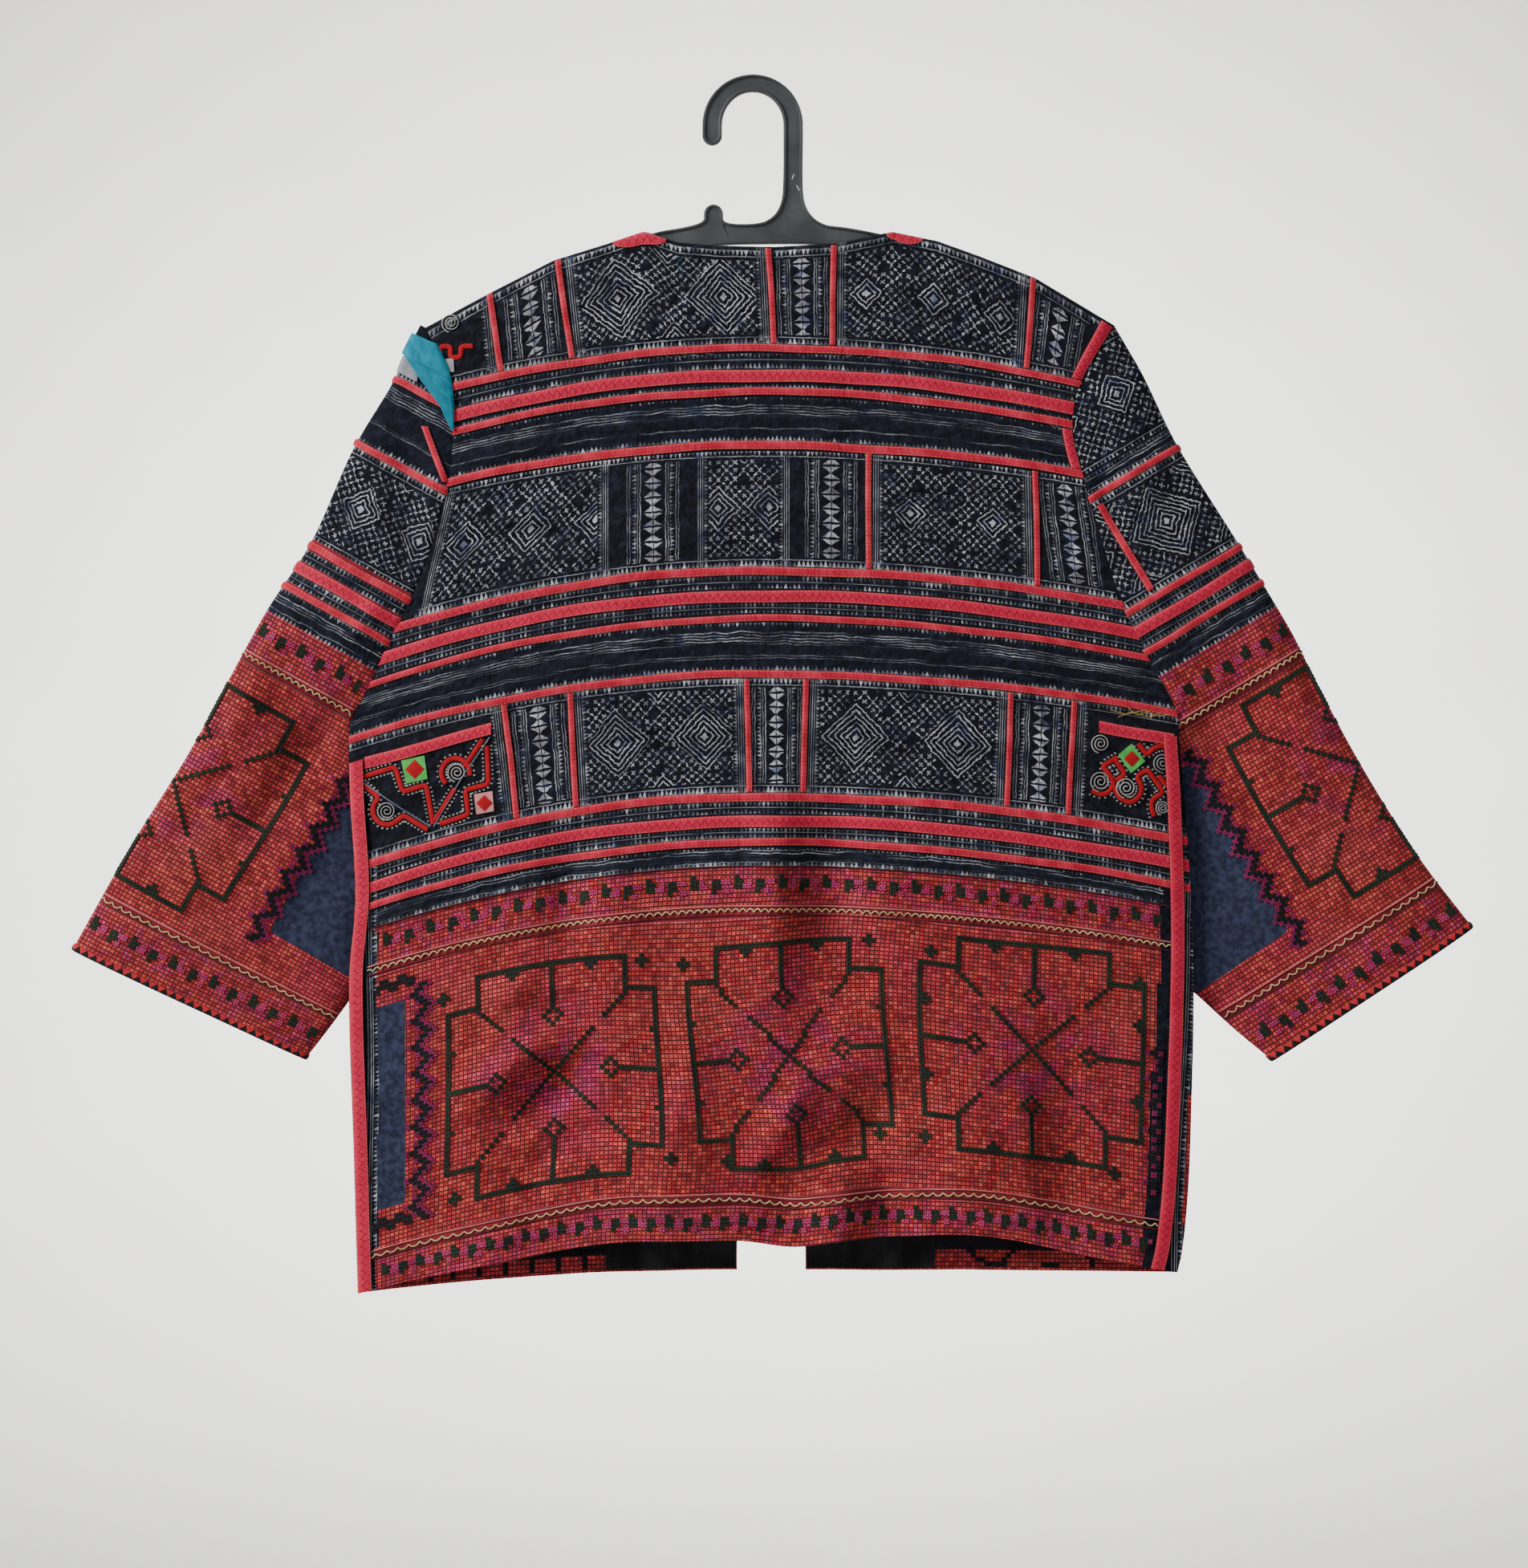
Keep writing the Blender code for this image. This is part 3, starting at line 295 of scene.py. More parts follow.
# Folds and creases: a line from one point to the other that stands out where rise is over 0
Fold = namedtuple("Fold", "x0 z0 x1 z1 half rise")
BROAD_FOLDS = table(
    Fold,
    (16, -455, 13, -600, 17, 7.5), (50, -448, 52, -612, 24, -8.5), (0, -714, 37, -650, 12, 7.5),
    (37, -650, 90, -632, 12, 5.0), (46, -702, 100, -664, 17, -8.5), (58, -700, 54, -775, 14, 6.0),
    (88, -690, 90, -775, 17, -7.5), (-194, -672, -126, -614, 12, 6.5), (-172, -692, -104, -636, 15, -8.5),
    (-174, -602, -142, -584, 9, 4.0), (-152, -624, -122, -600, 11, -5.0), (-166, -716, -92, -680, 13, -6.0),
    (-119, -486, -122, -580, 16, -6.5), (-92, -490, -90, -590, 20, 3.0), (-50, -640, -52, -775, 30, 6.0),
    (148, -600, 155, -770, 34, 5.0), (206, -620, 214, -770, 24, -6.0), (-178, -735, -172, -800, 30, 6.0),
    (20, -700, 22, -775, 15, -4.0), (-160, -430, 150, -445, 22, -4.0), (-120, -275, 130, -285, 24, 3.0),
)
CREASES = table(
    Fold,
    (-150, -764, -128, -640, 8, -2.0), (-60, -742, -36, -600, 8, 1.8), (118, -760, 104, -612, 8, -1.8),
    (186, -768, 176, -640, 9, 2.2), (246, -760, 236, -600, 8, -2.0), (-240, -560, -120, -520, 8, -1.8),
    (120, -530, 262, -560, 8, -1.8), (-214, -430, -90, -418, 8, 1.8), (60, -424, 236, -432, 8, 1.7),
    (-180, -300, -40, -268, 8, -1.6), (60, -262, 196, -290, 8, -1.8), (-150, -150, -60, -124, 8, 1.7),
    (90, -122, 170, -150, 8, 1.7), (-196, -218, -120, -232, 7, 1.6), (120, -222, 204, -214, 7, 1.5),
    (-190, -350, -90, -338, 6, -1.4), (-30, -362, 120, -356, 6, -1.3), (-120, -212, 100, -208, 5, -1.2),
    (70, -180, 66, -330, 14, -2.0), (-70, -200, -84, -340, 16, 2.0),
)
Lobe = namedtuple("Lobe", "x half lift")
HEM_LOBES = table(Lobe, (150, 62, 9.0), (26, 24, -5.0), (-95, 45, 3.0))
FLARE_TOP = -545.0
# The wall is the cloth's depth in the CAD. At a seam its faces stay a little apart, and more at the open neck.
WALL, SEAM_CLEAR, NECK_CLEAR, ARMHOLE_OPEN = 1.8, 0.15, 4.4, 6.5
SHOULDER_ROUND = 0.08


def smooth(rows, at):
    """A smooth curve through pairs, read at many places."""
    rows = sorted((float(r[0]), float(r[1])) for r in rows)
    x, y = np.array(rows).T
    slope = np.diff(y) / np.diff(x)
    tangent = np.concatenate([[slope[0]], (slope[1:] + slope[:-1]) / 2, [slope[-1]]])
    tangent[1:-1][slope[1:] * slope[:-1] <= 0] *= 0.3
    at = np.clip(np.asarray(at, float), x[0], x[-1])
    i = np.clip(np.searchsorted(x, at) - 1, 0, len(x) - 2)
    h = x[i + 1] - x[i]
    t = (at - x[i]) / h
    start = y[i] * (1 + 2 * t) * (1 - t) ** 2 + tangent[i] * h * t * (1 - t) ** 2
    return start + y[i + 1] * t * t * (3 - 2 * t) - tangent[i + 1] * h * t * t * (1 - t)


def straight(rows, at):
    """Straight lines through pairs, read at many places."""
    return np.interp(at, *np.array(sorted((float(r[0]), float(r[1])) for r in rows)).T)


def edge_x(side, z):
    return smooth(SIDES[side], z)


def top_z(x):
    return straight(TOP_EDGE, x)


def armhole_depth(side, z):
    tip = SIDES[side][0].z
    share = np.clip((tip - z) / (tip - UNDERARM[side]), 0, 1)
    return SEAM_CLEAR + ARMHOLE_OPEN * np.sin(math.pi * share) ** 0.8


def hollow_depth(u, z):
    left, right = armhole_depth("left", z), armhole_depth("right", z)
    edge = left + (right - left) * u
    depth = straight([(h.z, h.depth) for h in HOLLOW], z)
    power = straight([(h.z, h.power) for h in HOLLOW], z)
    return edge + (depth - edge) * np.maximum(4 * u * (1 - u), 0) ** power


def rounded_off(depth, edge, share):
    """Depth that falls in a round to that of the edge, where the share is near 0."""
    near = np.clip(share / SHOULDER_ROUND, 0, 1)
    return edge + (depth - edge) * np.sqrt(1 - (1 - near) ** 2)


def fold_rise(x, z, folds):
    """How far folds stand out of the cloth at a place."""
    rise = np.zeros(np.broadcast(x, z).shape)
    for fold in folds:
        dx, dz = fold.x1 - fold.x0, fold.z1 - fold.z0
        share = ((x - fold.x0) * dx + (z - fold.z0) * dz) / (dx * dx + dz * dz)
        near = np.clip(share, 0, 1)
        away = np.hypot(x - fold.x0 - near * dx, z - fold.z0 - near * dz)
        ends = np.clip(1.25 - np.abs(share - 0.5) * 2, 0, 1)
        rise += fold.rise * ends * np.exp(-((away / fold.half) ** 2))
    return rise


def arch(line, x, left_x, right_x):
    """Height of a line across the body, given at its centre and both ends."""
    centre, left, right = line
    on_left = ((CENTRE_X - x) / (CENTRE_X - left_x)) ** 2 * (left - centre)
    on_right = ((x - CENTRE_X) / (right_x - CENTRE_X)) ** 2 * (right - centre)
    z = centre + np.where(x < CENTRE_X, on_left, on_right)
    low = np.clip((FLARE_TOP - centre) / (FLARE_TOP - HEM.centre), 0, 1)
    for lobe in HEM_LOBES:
        z = z + low * lobe.lift * np.exp(-(((x - lobe.x) / lobe.half) ** 2))
    return z


def line_ends(level):
    """Heights at both side edges of the line that passes the centre at a level."""
    left = straight([(line.centre, line.left) for line in LINES], level)
    right = straight([(line.centre, line.right) for line in LINES], level)
    return left, right


def back_at(u, level, out=0.0):
    """A point of the back's outer face: share u across, on the line that passes the centre at level."""
    u, level = np.broadcast_arrays(np.asarray(u, float), np.asarray(level, float))
    left, right = line_ends(level)
    left_x, right_x = edge_x("left", left), edge_x("right", right)
    x = left_x + (right_x - left_x) * u
    z = arch((level, left, right), x, left_x, right_x)
    # The yoke runs from the first line up to the top edge
    share = np.clip((level - FIRST.centre) / (YOKE_TOP - FIRST.centre), 0, 1)
    tip_left, tip_right = TOP_EDGE[0], TOP_EDGE[-1]
    z_left = FIRST.left + (tip_left.z - FIRST.left) * share
    z_right = FIRST.right + (tip_right.z - FIRST.right) * share
    yoke_left, yoke_right = edge_x("left", z_left), edge_x("right", z_right)
    top_x = tip_left.x + (tip_right.x - tip_left.x) * u
    in_yoke = level > FIRST.centre
    x = np.where(in_yoke, yoke_left + (yoke_right - yoke_left) * u, x)
    first_left, first_right = edge_x("left", FIRST.left), edge_x("right", FIRST.right)
    first_z = arch(FIRST, first_left + (first_right - first_left) * u, first_left, first_right)
    z = np.where(in_yoke, top_z(top_x) * share + first_z * (1 - share), z)
    fade = np.minimum(1, 8 * u * (1 - u))
    depth = hollow_depth(u, z) + (fold_rise(x, z, BROAD_FOLDS) + fold_rise(x, z, CREASES)) * fade
    neck = (top_x > NECK_LEFT + 1) & (top_x < NECK_RIGHT - 1)
    edge = np.where(neck, NECK_CLEAR, SEAM_CLEAR)
    return np.stack([x, -(rounded_off(depth, edge, 1 - share) + WALL) - out, z], -1)


def share_at(x, level):
    """The share across the back where a line passes x."""
    start, end = back_at(0.0, level)[..., 0], back_at(1.0, level)[..., 0]
    return (x - start) / (end - start)


def level_at(x, z):
    """The level of the line that passes a place on the back."""
    level = np.full(np.broadcast(x, z).shape, z, float)
    for _ in range(12):
        level += z - back_at(share_at(x, level), level)[..., 2]
        level = np.clip(level, HEM.centre, YOKE_TOP)
    return level


# Batik cloth: cotton drawn on with wax in fine lines, dyed dark, and cut into blocks between the red tapes.
# Each block keeps its distances to its own edges, so its borders and diamonds sit square between its tapes.
# reach is half a diamond; in a stitched block it is 1 for a border over its cord and 2 for one under it.
BLOCK_PARTS = "finish left_top left_foot right_top right_foot upper lower pitch reach"
Block = namedtuple("Block", BLOCK_PARTS, defaults=(40, 10))
FAR = 400.0
INK = dye(12, 14, 22)
WAX = dye(196, 199, 208)
BLUE_WAX = dye(70, 88, 136)
TOOTH = 2.9


class Batik(Finish):
    """Dark dyed cotton, with the distances that its drawn lines are measured by."""

    def __init__(self, name, ground=INK):
        super().__init__(name, ground, 0.9, Sheen_Weight=0.03, Specular_IOR_Level=0.12)
        self.ground = ground
        self.x, self.level, _ = self.attribute("cloth")
        self.left, self.right, self.pitch = self.attribute("panel")
        self.upper, self.lower, self.reach = self.attribute("band")
        self.flat = self.vector(self.x, self.level, 0.0)
        over, down, _ = self.parts(self.noise(self.flat, 0.085, 2.0, 1))
        self.wander_x, self.wander_y = (over - 0.5) * 3.6, (down - 0.5) * 3.6
        over, down, _ = self.parts(self.noise(self.flat, 0.5, 1.0, 1))
        self.shake_x, self.shake_y = (over - 0.5) * 2.0, (down - 0.5) * 2.0
        self.fade = self.noise(self.flat, 0.045, 3.0).between(0.3, 0.68)
        self.blotch = self.noise(self.flat, 0.16, 4.0)

    def teeth(self, distance, tall=3.6, run=None, pitch=TOOTH):
        """A row of small white teeth that stand on an edge, some drawn full and some worn thin."""
        turn = ((self.x if run is None else run) + self.shake_x * 0.6) / pitch
        chance = self.speckle(self.vector(turn.whole(), (self.level * 0.04).whole(), tall))
        wave = 1 - abs(turn.part() * 2 - 1)
        tooth = (wave * (tall + 0.5) * (0.7 + 0.45 * chance) - distance).between(-0.1, 0.5) * (distance > 0.0)
        return tooth * (0.25 + 0.75 * chance.between(0.2, 1.0))

    def lines(self, drawn, distance, half, *lines):
        """Adds thin lines at distances of their own, each drawn as strongly as its share says."""
        for away, share in lines:
            drawn = drawn.most((distance - away).line(half) * share)
        return drawn

    def frame(self, sides=True):
        """The drawn border of a block: teeth and thin lines at head and foot, lines and teeth at each side."""
        drawn = self.teeth(self.upper).most(self.teeth(self.lower))
        for edge in (self.upper, self.lower):
            drawn = drawn.most((edge + self.shake_y * 0.5 - 4.4).line(0.28) * 0.5)
        for side in (self.left, self.right) if sides else ():
            drawn = self.lines(drawn, side, 0.24, (3.2, 0.4), (4.7, 0.6), (6.2, 0.4))
            drawn = drawn.most(self.teeth(side - 7.4, 2.2, self.level, 2.4) * 0.6)
        return drawn

    def inside(self):
        """1 inside the drawn border."""
        near = (self.upper.least(self.lower) + 3.6).least(self.left.least(self.right))
        return near.between(10.0, 10.5)

    def finish(self, drawn, wash=None):
        """Wax lines on the dyed ground, faded in places and blue where the dye crept under."""
        ground = self.mix(self.ground, dye(30, 33, 48), self.blotch.between(0.4, 0.8))
        if wash is not None:
            ground = self.mix(ground, wash[0], wash[1])
        tint = self.mix(WAX, BLUE_WAX, self.noise(self.flat, 0.07, 2.0).between(0.52, 0.68) * 0.8)
        colour = self.mix(ground, tint, drawn * (0.34 + 0.66 * self.fade))
        pucker = self.noise(self.flat, 0.2, 2.0)
        wrinkle = self.noise(self.vector(self.x * 0.018, self.level * 0.055, 0.0), 1.0, 2.0)
        return self.show(colour, 0.82 + 0.12 * self.blotch, pucker * 0.28 + self.blotch * 0.1 + wrinkle, 0.0052)


def lattice_cloth():
    """Blocks of drawn dashes and small crosses on the slant, round nested diamonds."""
    cloth = Batik("batik_lattice")
    x, y = cloth.left + cloth.wander_x + cloth.shake_x, cloth.upper + cloth.wander_y + cloth.shake_y
    tall = cloth.upper + cloth.lower
    off = abs(((x / cloth.pitch).part() - 0.5) * cloth.pitch)
    middle = abs(y - tall / 2)
    diamond = off + middle
    ring = diamond.rows(4.0).line(0.5)
    in_ring = 1 - diamond.between(cloth.reach - 0.2, cloth.reach + 0.2)
    # Half diamonds stand on the head and the foot between the whole ones
    half = (cloth.pitch / 2 - off) + (tall / 2 - middle)
    in_half = 1 - half.between(cloth.reach * 0.62, cloth.reach * 0.62 + 0.4)
    half_rings = half.rows(3.8).line(0.46)
    # Dashes one way and the other in turn with small crosses between them, and a few left out
    slant, back_slant = (x + y) / 5.5, (x - y) / 5.5
    first, second = slant.whole(), back_slant.whole()
    p, q = slant - first - 0.5, back_slant - second - 0.5
    one = 1 - (p * p * 8.0 + q * q * 50.0).between(0.6, 1.3)
    two = 1 - (q * q * 8.0 + p * p * 50.0).between(0.6, 1.3)
    cross = (1 - abs(p).least(abs(q)).between(0.06, 0.13)) * (1 - (p * p + q * q).between(0.13, 0.22))
    odd = first.swing(1.0)
    both = (first + second).swing(1.0)
    chance = cloth.speckle(cloth.vector(first, second, 2.0))
    marks = cross * both * 0.7 + (one * odd + two * (1 - odd)) * (1 - both)
    marks = marks * (chance > 0.08) * (0.4 + 0.6 * chance)
    drawn = marks * (1 - in_ring) * (1 - in_half) + (ring * in_ring + half_rings * in_half) * 0.85
    drawn = drawn.most((1 - diamond.between(1.4, 2.2)) * 0.8) * cloth.inside()
    return cloth.finish(drawn.most(cloth.frame()))


def column_cloth():
    """Narrow blocks of white triangles that meet point to point, between drawn lines and rows of teeth."""
    cloth = Batik("batik_column", dye(13, 14, 22))
    wide = cloth.left + cloth.right
    x = abs(cloth.left - wide / 2 + cloth.wander_x * 0.6 + cloth.shake_x * 0.6)
    y = cloth.upper + cloth.wander_y * 0.6 + cloth.shake_y * 0.8
    half = (wide * 0.16).least(7.0)
    wave = abs((y / 9.6).part() * 2 - 1)
    filled = (wave * half - x).between(-0.3, 0.4) * (wave < 0.84) * (1 - x.line(0.34))
    drawn = filled * (0.4 + 0.6 * cloth.blotch.between(0.35, 0.6))
    drawn = cloth.lines(drawn, x - half, 0.26, (1.4, 0.7), (3.0, 0.4), (8.2, 0.4), (9.9, 0.3))
    drawn = drawn.most(cloth.teeth(x - half - 4.2, 2.2, cloth.level, 2.6) * 0.65)
    drawn = drawn * (cloth.upper.least(cloth.lower)).between(5.9, 6.3)
    wash = (dye(84, 50, 76), filled * 0.4 * cloth.blotch)
    return cloth.finish(drawn.most(cloth.frame(sides=False)), wash)


def striped_cloth():
    """Plain dark bands with a few uneven lines drawn along them and a row of teeth at each edge."""
    cloth = Batik("batik_stripes", dye(14, 17, 27))
    tall = cloth.upper + cloth.lower
    y = cloth.upper + cloth.wander_y
    run = cloth.vector(cloth.x * 0.02, (y / 1.9).whole() * 7.0, 0.0)
    worn = cloth.noise(run, 1.0, 2.0).between(0.38, 0.6)
    grain = cloth.noise(cloth.vector(cloth.x * 0.4, y, 0.0), 1.0, 1.0).between(0.3, 0.55)
    start, late = tall * 0.17, tall * 0.68
    held = (y - start).between(0.0, 0.4) * (start + (tall * 0.34).least(9.0) - y).between(0.0, 0.4)
    held = held.most((y - late).between(0.0, 0.4) * (late + 2.6 - y).between(0.0, 0.4) * 0.7)
    drawn = y.rows(1.9).line(0.36) * held * worn * (0.35 + 0.65 * grain) * 0.62
    patchy = cloth.noise(cloth.flat, 0.03, 2.0).between(0.42, 0.6)
    drawn = drawn.most(cloth.teeth(cloth.upper, 2.4) * (0.2 + 0.6 * patchy))
    return cloth.finish(drawn.most(cloth.teeth(cloth.lower, 2.6) * (0.9 - 0.5 * patchy)))


def toothed_cloth():
    """The narrow bands between two tapes: a row of teeth on each edge and thin lines between."""
    cloth = Batik("batik_teeth", dye(15, 17, 26))
    tall = cloth.upper + cloth.lower
    high = (tall * 0.4).least(3.4)
    roomy = tall.between(5.0, 7.0)
    patchy = cloth.noise(cloth.flat, 0.028, 2.0).between(0.42, 0.6)
    drawn = cloth.teeth(cloth.upper, high) * (0.15 + 0.6 * patchy) * roomy
    drawn = drawn.most(cloth.teeth(cloth.lower, high) * (0.85 - 0.55 * patchy))
    drawn = drawn.most((cloth.upper - tall * 0.46).line(0.24) * 0.35 * roomy)
    return cloth.finish(drawn)


def edging_cloth():
    """The dark strip beside each red side band: one row of teeth down it and three thin lines."""
    cloth = Batik("batik_edging", dye(14, 16, 26))
    drawn = cloth.teeth(cloth.right, 3.0, cloth.level) * 0.75
    return cloth.finish(cloth.lines(drawn, cloth.right, 0.24, (3.9, 0.5), (5.4, 0.6), (7.4, 0.4)))


def applique_ground():
    """The dark ground of the applique corners, with drawn lines and a row of teeth round it."""
    cloth = Batik("applique_ground", dye(13, 13, 20))
    return cloth.finish(cloth.frame() * 0.8)


def plain_lining():
    """Plain dark cotton that lines the jacket, worn softer in places."""
    cloth = Finish("lining_cloth", dye(20, 20, 27), 0.9, Sheen_Weight=0.04, Specular_IOR_Level=0.12)
    soft = cloth.noise(cloth.place(), 40.0, 3.0)
    weave = cloth.noise(cloth.place(), 1100.0, 1.0)
    colour = cloth.mix(dye(16, 16, 21), dye(36, 35, 42), soft)
    return cloth.show(colour, 0.82 + 0.12 * soft, weave * 0.4 + soft, 0.0006)


# Cross-stitched cloth: every cell holds one crossed stitch of thick cotton in a red that changes from
# cell to cell. Between the legs of each cross and between the rows that red is darkened almost to black:
# painted shade in the gaps, over the dark woven ground that shows there.
CELL = 2.9
NAVY = dye(28, 32, 50)


def stitched_cloth():
    """Red crossed stitches, with magenta patches on the motifs, and a wine ribbon where a cord lies."""
    cloth = Finish("cross_stitch", dye(140, 26, 30), 0.86, Sheen_Weight=0.05, Specular_IOR_Level=0.15)
    x, level, bare = cloth.attribute("cloth")
    from_motif, above_motif, _ = cloth.attribute("panel")
    upper, lower, border = cloth.attribute("band")
    flat = cloth.vector(x, level, 0.0)
    drag, lean, _ = cloth.parts(cloth.noise(flat, 0.3, 1.0, 1))
    across, down = (x + (drag - 0.5) * 0.7) / CELL, (level + (lean - 0.5) * 0.7) / CELL
    chance = cloth.speckle(cloth.vector(across.whole(), down.whole(), 0.0))
    second = cloth.speckle(cloth.vector(down.whole(), across.whole(), 3.0))
    one, two = across.part() - 0.5, down.part() - 0.5
    leg = abs(one - two).least(abs(one + two))
    # thread falls between the legs of each cross and between rows and columns, where painted shade goes below
    thread = 1 - leg.between(0.24, 0.42) * 0.75
    thread = thread * (1 - abs(two).between(0.34, 0.48) * 0.9) * (1 - abs(one).between(0.38, 0.5) * 0.7)
    reds = cloth.mix(dye(182, 46, 54), dye(206, 74, 66), chance.between(0.2, 0.8))
    reds = cloth.mix(reds, dye(150, 32, 50), (second > 0.84) * 0.5)
    reds = cloth.mix(reds, dye(194, 52, 74), cloth.noise(flat, 0.022, 2.0).between(0.46, 0.64) * 0.7)
    reds = cloth.mix(reds, dye(212, 86, 74), cloth.noise(flat, 0.011, 2.0).between(0.52, 0.72) * 0.5)
    # Magenta lies in patches over the middle of each motif and here and there along the borders
    near = abs(from_motif) + abs(above_motif)
    heart = cloth.noise(flat, 0.05, 3.0).between(0.47, 0.58) * (1 - near.between(26.0, 84.0))
    edging = (border > 0.5) * cloth.noise(flat, 0.1, 1.0).between(0.5, 0.6)
    share = heart.most(edging * 0.8) * (0.35 + 0.65 * chance) * 0.85
    colour = cloth.mix(reds, dye(172, 40, 104), share)
    streak = cloth.noise(cloth.vector(x * 0.05, level * 0.16, 0.0), 1.0, 2.0).between(0.3, 0.7)
    shade = (0.6 + 0.56 * second) * (0.86 + 0.24 * chance) * (0.82 + 0.36 * streak)
    # Where thread is low the red is darkened almost to black: painted shade in the gaps between the stitches
    colour = cloth.mix(cloth.tone(colour, 0.04), cloth.tone(colour, shade), thread)
    # A flat wine ribbon with a dotted line at each edge lies under every cord
    near_cord = (upper + ((border > 0.5) - (border > 1.5)) * 99.0).least(lower + (border > 1.5) * 99.0)
    ribbon = 1 - near_cord.between(3.0, 3.5)
    dots = (near_cord - 3.7).line(0.45) * ((x / 1.5).part() < 0.6)
    colour = cloth.mix(colour, cloth.mix(dye(96, 20, 34), dye(128, 34, 46), streak), ribbon * 0.9)
    colour = cloth.mix(colour, dye(214, 96, 110), dots * 0.8)
    ground = bare.between(-0.2, 0.2)
    navy = cloth.mix(NAVY, dye(50, 55, 80), cloth.noise(cloth.place(), 260.0, 3.0).between(0.3, 0.7))
    colour = cloth.mix(colour, navy, ground)
    height = thread * (1 - ground) * (1 - ribbon) * (0.7 + 0.3 * second)
    wrinkle = cloth.noise(cloth.vector(x * 0.03, level * 0.03, 0.0), 1.0, 2.0)
    return cloth.show(colour, 0.8 + 0.14 * chance, height * 0.7 + wrinkle, 0.004)


CLOTHS = {
    "lattice": lattice_cloth(),
    "column": column_cloth(),
    "stripes": striped_cloth(),
    "teeth": toothed_cloth(),
    "edging": edging_cloth(),
    "applique": applique_ground(),
    "stitched": stitched_cloth(),
    "lining": plain_lining(),
}
CLOTH_ORDER = list(CLOTHS)


def block_of(blocks, x, level):
    """The number of the block at each place, and the last block where no other holds it."""
    found = np.full(x.shape, len(blocks) - 1)
    for number, block in reversed(list(enumerate(blocks[:-1]))):
        t = np.clip((block.upper - level) / (block.upper - block.lower), 0, 1)
        left = block.left_top + (block.left_foot - block.left_top) * t
        right = block.right_top + (block.right_foot - block.right_top) * t
        held = (level <= block.upper) & (level > block.lower) & (x >= left) & (x < right)
        found[held] = number
    return found


def closed_faces(rows, columns, open_rows=None):
    """Faces of two grids of points and of the rims between them.

    open_rows says which rows have rims at both their ends.
    """
    count = rows * columns
    grid = np.arange(count).reshape(rows, columns)
    a, b = grid[:-1, :-1].ravel(), grid[:-1, 1:].ravel()
    c, d = grid[1:, 1:].ravel(), grid[1:, :-1].ravel()
    faces = [np.stack([a, d, c, b], 1), np.stack([a, b, c, d], 1) + count]
    ends = np.ones(rows - 1, bool) if open_rows is None else open_rows[:-1]
    whole = np.ones(columns - 1, bool)
    lines = ((grid[0, ::-1], whole), (grid[-1], whole), (grid[:, 0], ends), (grid[::-1, -1], ends[::-1]))
    for line, kept in lines:
        faces.append(np.stack([line[:-1], line[1:], line[1:] + count, line[:-1] + count], 1)[kept])
    return np.vstack(faces)


def add_pattern(mesh, name, domain, values):
    """Keeps three numbers for each point or corner, which the finish reads."""
    layer = mesh.attributes.new(name, "FLOAT_VECTOR", domain)
    layer.data.foreach_set("vector", np.asarray(values, np.float32).ravel())


def sharpened(work, angle):
    """Turns all faces outward, and keeps the edges sharp that bend more than an angle."""
    bmesh.ops.recalc_face_normals(work, faces=work.faces)
    for edge in work.edges:
        if len(edge.link_faces) == 2 and edge.calc_face_angle(0.0) > math.radians(angle):
            edge.smooth = False


def wall_mesh(name, outer, inner, faces):
    """A smooth mesh of two grids of points."""
    mesh = bpy.data.meshes.new(name)
    mesh.from_pydata(np.vstack([outer.reshape(-1, 3), inner.reshape(-1, 3)]) * MM, [], faces)
    mesh.polygons.foreach_set("use_smooth", np.ones(len(faces), bool))
    return mesh


def closed_up(mesh, angle, weld=0.0):
    """Turns a mesh's faces outward, marks its sharp edges and joins points nearer than weld."""
    work = bmesh.new()
    work.from_mesh(mesh)
    if weld:
        bmesh.ops.remove_doubles(work, verts=work.verts, dist=weld)
    sharpened(work, angle)
    work.to_mesh(mesh)
    work.free()
    mesh.update()


def declared(piece, slot, *nodes):
    """Says what a piece moves with and which CAD parts it shows, if any. slot is not used."""
    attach(piece, "root")
    if nodes:
        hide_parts(*nodes)
    return piece


RIM_ANGLE, WELD = 50, 0.00002


